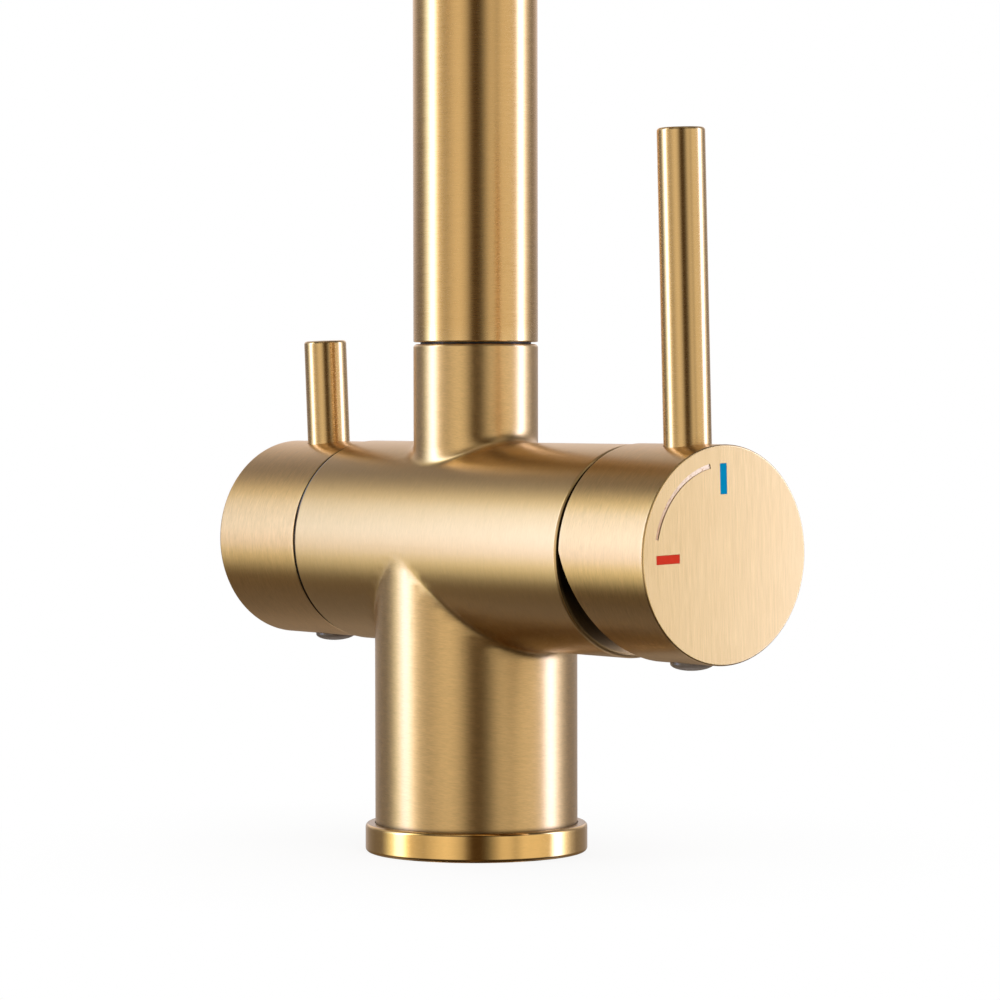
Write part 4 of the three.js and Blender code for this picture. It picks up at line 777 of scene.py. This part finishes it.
def pin_profile(knob_radius, radius, reach):
    seat = knob_radius - PIN_SEAT
    stub = [(0, seat - STUB_LENGTH), (STUB_R, seat - STUB_LENGTH), (STUB_R, seat)]
    return [*stub, (radius, seat), *high_rim(radius, reach, PIN_EDGE, 8), (0, reach)]


def plug_profile(knob_radius, steps=14):
    seat = knob_radius - PLUG_SEAT
    dome = []
    for k in range(steps):
        a = math.pi / 2 * k / steps
        nr, nh = math.cos(a) / PLUG_R, math.sin(a) / PLUG_DOME
        size = math.hypot(nr, nh)
        dome.append((PLUG_R * math.cos(a), knob_radius + PLUG_DOME * math.sin(a), nr / size, nh / size))
    stem = [(0, seat - STEM_LENGTH), (STEM_R, seat - STEM_LENGTH), (STEM_R, seat)]
    return [*stem, (PLUG_R, seat), *dome, (0, knob_radius + PLUG_DOME, 0, 1)]


def knob_holes(knob_radius, pin_radius, x):
    """Holes for the lever pin and its stub, for the grub screw and for the screw's plug."""
    centre, past = (x, 0, AXIS_Z), 2 * knob_radius
    seat = knob_radius - PIN_SEAT - PLAY
    return [
        rod(pin_radius + PLAY, seat, past, Z, centre),
        rod(STUB_R + WIDE_PLAY, seat - STUB_LENGTH - PLAY, seat + PLAY, Z, centre),
        rod(SCREW_R, SOCKET_HALF / 2, past, -Z, centre),
        rod(PLUG_R + WIDE_PLAY, knob_radius - PLUG_SEAT - PLAY, past, -Z, centre),
    ]


# the engraved arc: where it starts and how far it runs in degrees, then its radius and width in mm
ARC_START, ARC_TURN, ARC_STEPS = 101, 66.6, 40
ARC_R, ARC_DRIFT, ARC_WIDTH, ARC_TAPER, ARC_DEPTH = 19.1, 0.35, 1.05, 0.2, 0.15
MARK_START, MARK_END, MARK_HALF, MARK_DEPTH, MARK_PLAY = 12.8, 19.2, 0.9, 0.4, 0.05


def arc_groove():
    """The engraved arc on the knob's face, as a thin solid that reaches into it."""
    points = []
    for share in np.linspace(0, 1, ARC_STEPS + 1):
        a = math.radians(ARC_START + ARC_TURN * share)
        for way, side in ((-1, 1), (-1, -1), (1, -1), (1, 1)):
            r = ARC_R + ARC_DRIFT * share + side * (ARC_WIDTH - ARC_TAPER * share) / 2
            points.append((KNOB_END + way * ARC_DEPTH, r * math.cos(a), AXIS_Z + r * math.sin(a)))
    last = 4 * ARC_STEPS
    faces = [*grid_faces(ARC_STEPS + 1, 4), (0, 1, 2, 3), (last + 3, last + 2, last + 1, last)]
    return faced_out(raw_object("arc", points, faces))


def mark_slot(degrees):
    """Slot in the knob's face for an enamel mark."""
    a = math.radians(degrees)
    turn = [[1, 0, 0], [0, math.cos(a), -math.sin(a)], [0, math.sin(a), math.cos(a)]]
    low = (KNOB_END - MARK_DEPTH - MARK_PLAY, MARK_START - MARK_PLAY, -MARK_HALF - MARK_PLAY)
    high = (KNOB_END + MARK_DEPTH, MARK_END + MARK_PLAY, MARK_HALF + MARK_PLAY)
    return block("slot", low, high, turn, CROSS)


CAVITY_R, BOSS_R, CAVITY_DEPTH, SOCKET_FLOOR = 19.95, 8.5, 10, 6.6
RECESS_R, RECESS_DEPTH = 8.6, 4
RELIEF_ANGLE, RELIEF_START, RELIEF_REACH = math.radians(19.9), 2.4, 92
FILTER_CAVITY_R, FILTER_CAVITY_DEPTH, FILTER_SOCKET_FLOOR = 19.5, 9, 7.6
KNOB_RIM, FILTER_INNER_RIM, FILTER_RIM = 0.4, 0.6, 1.0


def mixer_cuts():
    """Round hollows of the mixer knob, and the solids that cut it."""
    low, high = KNOB_START - CAVITY_DEPTH, KNOB_START + CAVITY_DEPTH
    cavity = Turned(tube_profile(BOSS_R, CAVITY_R, low, high), X, CROSS, closed=True, inside=True)
    recess = rod(RECESS_R, low, KNOB_START + RECESS_DEPTH, X, CROSS)
    holes = knob_holes(KNOB_R, KNOB_PIN_R, KNOB_PIN_X)
    socket_low = (KNOB_START, -SOCKET_HALF, -SOCKET_HALF)
    socket_high = (KNOB_END - SOCKET_FLOOR, SOCKET_HALF, SOCKET_HALF)
    # the slanted cut of the lower half leaves room for the tilt
    cosine, sine = math.cos(RELIEF_ANGLE), math.sin(RELIEF_ANGLE)
    slant = [[cosine, 0, -sine], [0, 1, 0], [sine, 0, cosine]]
    relief_low, relief_high = (-RELIEF_REACH, -RELIEF_REACH, -RELIEF_REACH), (0, RELIEF_REACH, 0)
    cuts = [
        solid_of("cavity", cavity, ROUND),
        solid_of("recess", recess, SMALL),
        block("socket", socket_low, socket_high, at=CROSS),
        block("relief", relief_low, relief_high, slant, (KNOB_START, 0, AXIS_Z + RELIEF_START)),
        *[solid_of("hole", h, SMALL) for h in holes],
        mark_slot(90),
        mark_slot(180),
        arc_groove(),
    ]
    return [cavity, recess, *holes], cuts


def mixer_knob():
    outside = barrel(KNOB_R, KNOB_START, KNOB_END, (KNOB_RIM, KNOB_RIM), X)
    hollows, cuts = mixer_cuts()
    knob = combine("mixer_knob_skin", solid_of("blank", outside, FINE), (), cuts)
    at, facing, owner = shaded(knob, [outside, *hollows])
    # painted shade in the knob's hollows and holes, on its inner end and on the slanted cut
    inner_end = (at[:, 0] < KNOB_START + KNOB_RIM) & (facing[:, 0] < -0.3)
    mark(knob, "painted_shade", (owner > 0) | inner_end | ((owner < 0) & (at[:, 0] < KNOB_END - 1)), "FACE")
    brushed(knob, X, CROSS, KNOB_R, [(KNOB_R, KNOB_START), (KNOB_R, KNOB_END)])
    face_up(knob)
    on_face = (facing[:, 0] > 0.99) & (at[:, 0] > KNOB_END - 0.5)
    etched = (owner < 0) & (at[:, 0] > KNOB_END - 0.2)
    angle = np.degrees(np.arctan2(at[:, 2] - AXIS_Z, at[:, 1]))
    floor_tone = 1.0 + np.clip((angle - ARC_START) / 66, 0, 1)
    mark(knob, "etch", np.where(etched, np.where(facing[:, 0] > 0.5, floor_tone, 0.5), 0.0), "FACE")
    knob.data.polygons.foreach_set("material_index", (on_face | etched).astype(np.int32))
    return leaned(knob, MIXER_LEAN)


def face_up(knob):
    """The knob's face is brushed straight up and down."""
    points = points_of(knob)
    on_face = points[:, 0] > KNOB_END - 0.2
    groove, grain = read_mark(knob, "groove"), read_mark(knob, "grain")
    groove[on_face] = Z
    grain[on_face] = np.stack([points[:, 2], 0 * points[:, 0], points[:, 1]], 1)[on_face]
    mark(knob, "groove", groove)
    mark(knob, "grain", grain)


def filter_knob():
    outside = barrel(FILTER_R, FILTER_START, FILTER_END, (FILTER_INNER_RIM, FILTER_RIM), -X, (8, 8))
    low, high = FILTER_START - FILTER_CAVITY_DEPTH, FILTER_START + FILTER_CAVITY_DEPTH
    cavity = rod(FILTER_CAVITY_R, low, high, -X, CROSS)
    socket = rod(SOCKET_HALF, FILTER_START, FILTER_END - FILTER_SOCKET_FLOOR, -X, CROSS)
    holes = knob_holes(FILTER_R, FILTER_PIN_R, -FILTER_PIN_X)
    cuts = [solid_of("cavity", cavity, ROUND), *[solid_of("hole", h, SMALL) for h in (socket, *holes)]]
    knob = combine("filter_knob_skin", solid_of("blank", outside, FINE), (), cuts)
    at, facing, owner = shaded(knob, [outside, cavity, socket, *holes])
    # painted shade in the knob's hollows and holes and on its inner end
    inner_end = (at[:, 0] > -FILTER_START - FILTER_INNER_RIM) & (facing[:, 0] > 0.5)
    mark(knob, "painted_shade", (owner != 0) | inner_end, "FACE")
    brushed(knob, -X, CROSS, FILTER_R, [(FILTER_R, FILTER_START), (FILTER_R, FILTER_END)])
    return leaned(knob, FILTER_LEAN)


fitted(mixer_knob(), "mixer_handle", "brushed_brass", [knob_brass, face_brass], "mixer_knob")
fitted(filter_knob(), "filter_handle", "brushed_brass", [filter_brass], "filter_knob")
# knob radius, place along the cross axis, lean, pin radius and reach of both handles
HANDLES = {
    "mixer": (KNOB_R, KNOB_PIN_X, MIXER_LEAN, KNOB_PIN_R, KNOB_PIN_REACH),
    "filter": (FILTER_R, -FILTER_PIN_X, FILTER_LEAN, FILTER_PIN_R, FILTER_PIN_REACH),
}
for side, (knob_r, x, lean, pin_r, reach) in HANDLES.items():
    name, profile = side + "_lever_pin", pin_profile(knob_r, pin_r, reach)
    pin = handle_piece(name + "_skin", profile, Z, 96, pin_r, x, lean, [(pin_r, reach)])
    fitted(pin, side + "_handle", "brushed_brass", [pin_brass], name)
for side, (knob_r, x, lean, _, _) in HANDLES.items():
    name = side + "_screw_plug"
    plug = handle_piece(name + "_skin", plug_profile(knob_r), -Z, SMALL, PLUG_R, x, lean)
    fitted(plug, side + "_handle", "grey_plug", [finish["grey_plug"]], name)

# the steel ring that shows as a thin line between the filter knob and the body; painted shade darkens all of
# it but its top
ring_r, ring_hole, ring_start, ring_end = FILTER_R - 0.15, 19.6, CROSS_LEFT + 0.03, FILTER_START - 0.03
ring_profile = tube_profile(ring_hole, ring_r, ring_start, ring_end)
ring = turned_piece("filter_gap_ring", ring_profile, -X, CROSS, FINE, ring_r, True)
RING_SHADE_FOOT, RING_SHADE_RISE = 6, 11
ring_height = read(ring.data.polygons, "center", 3)[:, 2] / MM - AXIS_Z
# painted shade: full up to 6 mm over the axis, none from 17 mm up
mark(ring, "painted_shade", 1 - np.clip((ring_height - RING_SHADE_FOOT) / RING_SHADE_RISE, 0, 1), "FACE")
fitted(ring, "tap_base", "steel", [ring_steel])

# ---- spout


def spout_frame(s):
    """Point and direction of the spout's centre line, s mm from its foot."""
    riser = ARCH_Z - SPOUT_FOOT
    if s <= riser:
        return np.array([0, 0, SPOUT_FOOT + s]), Z
    turn = (s - riser) / ARCH_R
    if turn <= math.pi:
        point = np.array([0, ARCH_R * (math.cos(turn) - 1), ARCH_Z + ARCH_R * math.sin(turn)])
        return point, np.array([0, -math.sin(turn), math.cos(turn)])
    rest = s - riser - math.pi * ARCH_R
    return np.array([0, -2 * ARCH_R, ARCH_Z - rest]), -Z


def spout_tube(sides=120, round_off=0.25):
    riser = ARCH_Z - SPOUT_FOOT
    length = riser + math.pi * ARCH_R + ARCH_Z - OUTLET_Z
    arch = riser + np.linspace(0, math.pi * ARCH_R, 121)[1:]
    stops = [*np.linspace(4, riser, 24), *arch, length - 2]
    profile = [
        (SPOUT_BORE, 0),
        *low_rim(SPOUT_R, 0, round_off, 4),
        *[(SPOUT_R, s, 1, 0) for s in stops],
        *high_rim(SPOUT_R, length, round_off, 4),
        (SPOUT_BORE, length),
        *[(SPOUT_BORE, s) for s in reversed(stops)],
    ]
    angles = np.arange(sides) * TAU / sides
    cosine, sine = np.cos(angles)[:, None], np.sin(angles)[:, None]
    points, grooves, grains, frames = [], [], [], []
    travelled, last = 0.0, profile[0]
    for p in profile:
        centre, along = spout_frame(min(max(p[1], 0), length))
        out = cosine * X + sine * np.cross(along, X)
        travelled += math.hypot(p[0] - last[0], p[1] - last[1])
        last = p
        points.append(centre + out * p[0])
        grooves.append(np.cross(along, out))
        grains.append(np.hstack([cosine * SPOUT_R, sine * SPOUT_R, np.full((sides, 1), travelled)]))
        frames.append((along, out))
    normals = []
    for i, (_, _, na, nb) in enumerate(segments_of(profile, True)):
        corners = []
        for row, shift, flat in ((i, 0, na), (i, 1, na), (i + 1, 1, nb), (i + 1, 0, nb)):
            along, out = frames[row % len(profile)]
            corners.append(np.roll(out, -shift, 0) * flat[0] + along * flat[1])
        normals.append(np.stack(corners, 1))
    tube = raw_object("spout_tube_skin", np.concatenate(points), grid_faces(len(profile), sides, True))
    tube.data.shade_smooth()
    tube.data.normals_split_custom_set(np.concatenate(normals).reshape(-1, 3).tolist())
    mark(tube, "groove", np.concatenate(grooves))
    mark(tube, "grain", np.concatenate(grains))
    along = np.array([p[1] for p in profile])
    ends = np.minimum(np.abs(along), np.abs(length - along))
    mark(tube, "wear_and_sheen", np.repeat(np.exp(-((ends / 0.6) ** 2)), sides))
    return tube


fitted(spout_tube(), "spout", "brushed_brass", [tube_brass], "spout_tube")

# the outlet's collar, its neck inside the spout and its bore
COLLAR_TOP, COLLAR_FOOT, COLLAR_EDGE = OUTLET_Z - 0.3, OUTLET_Z - 8.5, 0.6
INNER_R, INNER_H, OUTLET_HOLE, LIP_HOLE, LIP_H = 12.3, 10.3, 10.7, 9.7, 1.5
aerator_profile = [
    (LIP_HOLE, COLLAR_FOOT),
    *low_rim(OUTLET_R, COLLAR_FOOT, COLLAR_EDGE),
    *[(OUTLET_R, COLLAR_TOP), (INNER_R, COLLAR_TOP), (INNER_R, COLLAR_TOP + INNER_H)],
    *[(OUTLET_HOLE, COLLAR_TOP + INNER_H), (OUTLET_HOLE, COLLAR_FOOT + LIP_H)],
    (LIP_HOLE, COLLAR_FOOT + LIP_H),
]
outlet, collar_rims = (0, -2 * ARCH_R, 0), [(OUTLET_R, COLLAR_FOOT)]
aerator = turned_piece("aerator_housing_skin", aerator_profile, Z, outlet, ROUND, OUTLET_R, True, collar_rims)
fitted(aerator, "spout", "brushed_brass", [tube_brass], "aerator_housing")

# ---- fixing under the worktop

SHANK_R, SHANK_BORE, SHANK_TOP, SHANK_LENGTH = 16.4, 13.8, 13.5, 71.5
THREAD_PITCH, THREAD_DEPTH, THREAD_ROWS = 1.5, 0.75, 6
NUT_LOW, NUT_HIGH, NUT_FLATS, NUT_HOLE, NUT_CHAMFER = -43.2, -33.2, 44.0, 16.55, math.radians(26)


def threaded_shank(sides=96):
    """Hollow shank with a real screw thread: each turn of the grid climbs one pitch."""
    foot, top = SHANK_TOP - SHANK_LENGTH, SHANK_TOP
    rows = (int(SHANK_LENGTH / THREAD_PITCH) + 2) * THREAD_ROWS
    row, k = np.divmod(np.arange(rows * sides), sides)
    z = foot + (row / THREAD_ROWS + k / sides - 1) * THREAD_PITCH
    crest = np.abs(row % THREAD_ROWS / THREAD_ROWS * 2 - 1)
    worn_in = np.clip(np.minimum(z - foot, top - z) / THREAD_PITCH, 0, 1)
    r = SHANK_R - THREAD_DEPTH * (1 - crest * worn_in)
    a = TAU * k / sides
    points = np.stack([r * np.cos(a), r * np.sin(a), np.clip(z, foot, top)], 1)
    faces = []
    for here in range((rows - 1) * sides):
        # the last side of a turn meets the first side of the next one
        after = here + 1 if (here + 1) % sides else here + 1 + (THREAD_ROWS - 1) * sides
        if after + sides < rows * sides:
            faces.append((here, after, after + sides, here + sides))
    shank = raw_object("threaded_shank_skin", points, faces)
    core_r = SHANK_R - THREAD_DEPTH - 0.05
    core = solid_of("shank_core", Turned(tube_profile(SHANK_BORE, core_r, foot, top), closed=True), sides)
    with bpy.context.temp_override(active_object=shank, selected_editable_objects=[shank, core]):
        bpy.ops.object.join()
    bm = bmesh.new()
    bm.from_mesh(shank.data)
    bmesh.ops.dissolve_degenerate(bm, edges=bm.edges, dist=1e-7)
    bm.to_mesh(shank.data)
    bm.free()
    return sharp_edged(shank, 38)


fitted(threaded_shank(), "tap_base", "raw_brass", [finish["raw_brass"]], "mounting_shank")


def chamfered_nut():
    """Backnut: hexagon with both faces turned to a chamfer, on the shank's thread."""
    low, high, corner = NUT_LOW, NUT_HIGH, NUT_FLATS / math.sqrt(3)
    corners = [(0, low), (corner, low), (corner, high), (0, high)]
    hexagon = Turned(corners)
    # without the extra points of a round piece
    hexagon.profile = corners
    blank = solid_of("hexagon", hexagon, 6)
    flat_r = NUT_FLATS / 2 - 0.4
    drop = (corner - flat_r) * math.tan(NUT_CHAMFER)
    inner = [(corner + 0.3, low + drop), (corner + 0.3, high - drop), (flat_r, high), (flat_r, high + 4)]
    outer = [(60, high + 4), (60, low - 4), (flat_r, low - 4), (flat_r, low)]
    cuts = [solid_of("cone", Turned([*inner, *outer], closed=True), ROUND)]
    cuts.append(solid_of("nut_hole", rod(NUT_HOLE, low - 5, high + 5), 96))
    return sharp_edged(combine("backnut_skin", blank, (), cuts), 12)


fitted(chamfered_nut(), "tap_base", "raw_brass", [finish["raw_brass"]], "shank_nut")

# ---- carried-over nodes

slots = {row["node"]: row["material_slot"] for row in frame["record"]["subparts"]}
for name, obj in nodes.items():
    obj.data.materials.clear()
    obj.data.materials.append(finish[slots[name]])

# ---- floor, world and lamps


def emission_share(n):
    """1 for camera, glossy and transmission rays, 0 for the rest."""
    path = n.add("LightPath")
    total = n.math("ADD", path.outputs["Is Camera Ray"], path.outputs["Is Glossy Ray"])
    total = n.math("ADD", total, path.outputs["Is Transmission Ray"])
    return n.math("MINIMUM", total, 1.0)


def floor_sheet():
    """Pale floor round the shank: white to the eye, fading to its shaded colour near the tap."""
    rings, sides = [0.0185, 0.05, 0.1, 0.2, 0.4, 0.8, 1.6, 3.2, 6.0], 96
    angles = np.arange(sides) * TAU / sides
    ring = np.stack([np.cos(angles), np.sin(angles), 0 * angles], 1) / MM
    floor = raw_object("floor", np.concatenate([ring * r for r in rings]), grid_faces(len(rings), sides))
    floor.data.flip_normals()
    n = material_nodes("floor")
    diffuse = n.add("BsdfDiffuse", {"Color": rgba(0.86, 0.86, 0.86)}).outputs[0]
    away = n.add("VectorMath", {0: n.add("TexCoord").outputs["Object"]}, operation="LENGTH")
    fade = n.span(away.outputs["Value"], 0.025, 0.12, 0.88, 1.0)
    white = n.light("Emission", rgba(1, 1, 1), 1.0)
    above = n.blend(n.math("MULTIPLY", emission_share(n), fade), diffuse, white)
    below = n.add("NewGeometry").outputs["Backfacing"]
    clear = n.add("BsdfTransparent").outputs[0]
    floor.data.materials.append(n.finish(n.blend(below, above, clear)))
    floor.visible_glossy = False


floor_sheet()


bpy.context.scene.world = bpy.data.worlds.new("studio")
w = Nodes(bpy.context.scene.world)
dim = w.light("Background", rgba(1.0, 0.985, 0.96), 0.55)
bright = w.light("Background", rgba(1, 1, 1), 1.0)
w.finish(w.blend(emission_share(w), dim, bright), "OutputWorld")

# the main view's direction, in degrees from the tap's front
CAMERA_AZ = 50.806

# each card: colour, then its strength round the set (degrees from the main view) and up from level
CARDS = {
    "warm_fill": (
        (1, 0.9, 0.7),
        [(-92, 0), (-76, 0.9), (-64, 0.66), (-56, 0.56), (-40, 0.9), (-30, 1.02), (-22, 0.88), (-13, 0.58),
         (-8, 0.19), (-3, 0.02), (7, 0.02), (13, 0.14), (21, 0.46), (28, 0.8), (35, 0.82), (43, 0.58),
         (52, 0.92), (68, 0.9), (80, 0.8), (92, 0)],
        [(-36, 0), (-28, 0.14), (-20, 0.62), (-12, 1), (12, 1), (24, 0.62), (35, 0.32), (46, 0.15),
         (56, 0.25), (68, 0.6), (90, 0.35)],
    ),
    "slot": ((1, 0.5, 0.1), [(-14, 0), (-6, 0.05), (7, 0.05), (14, 0)], [(-90, 1), (90, 1)]),
    "left_box": (
        (1, 1.03, 0.8),
        [(-116, 0), (-109, 0.42), (-104, 1.02), (-98, 1.65), (-94, 2.4), (-82, 2.4), (-78, 1.05), (-74, 0.18),
         (-70, 0)],
        [(-31, 0), (-27, 0.16), (-23, 0.42), (-16, 0.66), (-8, 0.8), (2, 0.94), (10, 1), (28, 1.03),
         (36, 1), (42, 0.8), (47, 0.42), (52, 0.08), (56, 0)],
    ),
    "left_core": (
        (0, 0.12, 1),
        [(-98, 0), (-92, 3.7), (-84, 3.7), (-79, 0)],
        [(-15, 0), (-6, 1), (28, 1), (37, 0)],
    ),
    "left_high_core": (
        (0, 0.34, 1),
        [(-112, 0), (-104, 0.7), (-98, 1.1), (-92, 0)],
        [(-3, 0), (6, 1), (28, 1), (37, 0)],
    ),
    "back_rise": (
        (1, 0.94, 1),
        [(-180, 0.45), (-150, 0.35), (-130, 0), (130, 0), (150, 0.35), (180, 0.45)],
        [(0, 0), (7, 1), (20, 1), (32, 0)],
    ),
    "left_rise": (
        (1, 0.95, 0.8),
        [(-142, 0), (-128, 0.32), (-112, 0.36), (-104, 0)],
        [(10, 0), (20, 1), (27, 1), (35, 0.5), (44, 0)],
    ),
    "right_box": (
        (1, 1.03, 1.1),
        [(80, 0), (83, 0.2), (86.5, 1.6), (90, 2.8), (98, 2.8), (104, 1.5), (109, 0.75),
         (116, 0.28), (126, 0)],
        [(-30, 0), (-24, 0.3), (-16, 0.75), (-6, 1), (22, 1), (31, 0.5), (38, 0)],
    ),
    "right_core": (
        (0.05, 0.18, 1),
        [(84, 0), (90, 2.6), (98, 2.6), (103, 0)],
        [(-30, 0), (-8, 1), (22, 1), (34, 0)],
    ),
    "back": (
        (1, 0.94, 0.96),
        [(-180, 0.65), (-165, 0.58), (-150, 0.34), (-132, 0.21), (-112, 0.25), (-90, 0), (90, 0), (112, 0.27),
         (134, 0.29), (150, 0.36), (165, 0.58), (180, 0.65)],
        [(-90, 0.75), (-44, 0.7), (-37, 0.32), (-30, 0.08), (-18, 0.2), (-8, 0.92), (42, 1), (55, 0.4),
         (90, 0.1)],
    ),
    "low_warm": (
        (1, 0.74, 0.42),
        [(-180, 0.3), (-112, 0.34), (-90, 0), (90, 0), (112, 0.34), (180, 0.3)],
        [(-38, 0), (-31, 0.36), (-17, 0.36), (-8, 0)],
    ),
    "dark_floor": ((1, 0.68, 0.36), [(-180, 0.045), (180, 0.045)], [(-36, 1), (-24, 0)]),
}


def reflection_cards():
    """A tent of cards round the set, which only glossy rays see."""
    radius, centre = 1600.0, np.array([0, -60.0, 130.0])
    az, el = np.arange(-180, 180, 2.0), np.arange(-88, 88.1, 2.0)
    turn, lift = np.radians(az + CAMERA_AZ)[None, :], np.radians(el)[:, None]
    way = np.stack([np.sin(turn) * np.cos(lift), -np.cos(turn) * np.cos(lift), np.sin(lift) + 0 * turn], 2)
    card = raw_object("cards", centre + way.reshape(-1, 3) * radius, grid_faces(len(el), len(az)))
    grid_az, grid_el = (v.ravel() for v in np.meshgrid(az, el))
    light = np.zeros((len(grid_az), 3))
    for colour, round_set, upward in CARDS.values():
        strength = np.interp(grid_az, *zip(*round_set)) * np.interp(grid_el, *zip(*upward))
        light += strength[:, None] * np.array(colour)
    mark(card, "light", light)
    n = material_nodes("cards")
    material = n.finish(n.light("Emission", n.attribute("light", "Vector"), 1.0))
    material.cycles.emission_sampling = "NONE"
    card.data.materials.append(material)
    card.visible_camera = card.visible_diffuse = card.visible_shadow = False
    card.visible_transmission = card.visible_volume_scatter = False


reflection_cards()


def area_lamp(name, size, power, place):
    """Round soft lamp that points at the tap. The metal doesn't reflect it."""
    lamp = bpy.data.lights.new(name, "AREA")
    lamp.shape, lamp.size, lamp.energy = "DISK", size, power
    obj = placed(name, lamp)
    obj.location = place
    obj.rotation_mode = "QUATERNION"
    obj.rotation_quaternion = (Vector((0, 0, 0.1)) - Vector(place)).to_track_quat("-Z", "Y")
    obj.visible_glossy = False


area_lamp("key", 0.9, 9.0, (1.1, -0.2, 1.1))
area_lamp("fill", 0.9, 6.0, (-0.7, -1.1, 1.0))
area_lamp("top", 1.1, 5.0, (-0.2, 0.5, 1.5))

# ---- camera


def photo_camera():
    """The photo's camera: its distance from the axis and its height in mm, and its lens in pixels."""
    stand, height, lens_px = 858.515, 102.694, 3817.9
    pitch, roll, aim = (math.radians(v) for v in (1.583, 0.089, -0.361))
    around = math.radians(CAMERA_AZ)
    camera = bpy.data.cameras.new("camera")
    camera.sensor_width = 36.0
    camera.lens = 36.0 * lens_px / 1000
    camera.clip_start, camera.clip_end = 0.02, 20.0
    obj = placed("camera", camera)
    place = Vector((math.sin(around) * stand, -math.cos(around) * stand, height)) * MM
    turn = Matrix.Rotation(around + aim, 4, "Z") @ Matrix.Rotation(math.pi / 2 - pitch, 4, "X")
    obj.matrix_world = Matrix.Translation(place) @ turn @ Matrix.Rotation(-roll, 4, "Z")
    bpy.context.scene.camera = obj


photo_camera()
bpy.context.scene.view_settings.view_transform = "Standard"
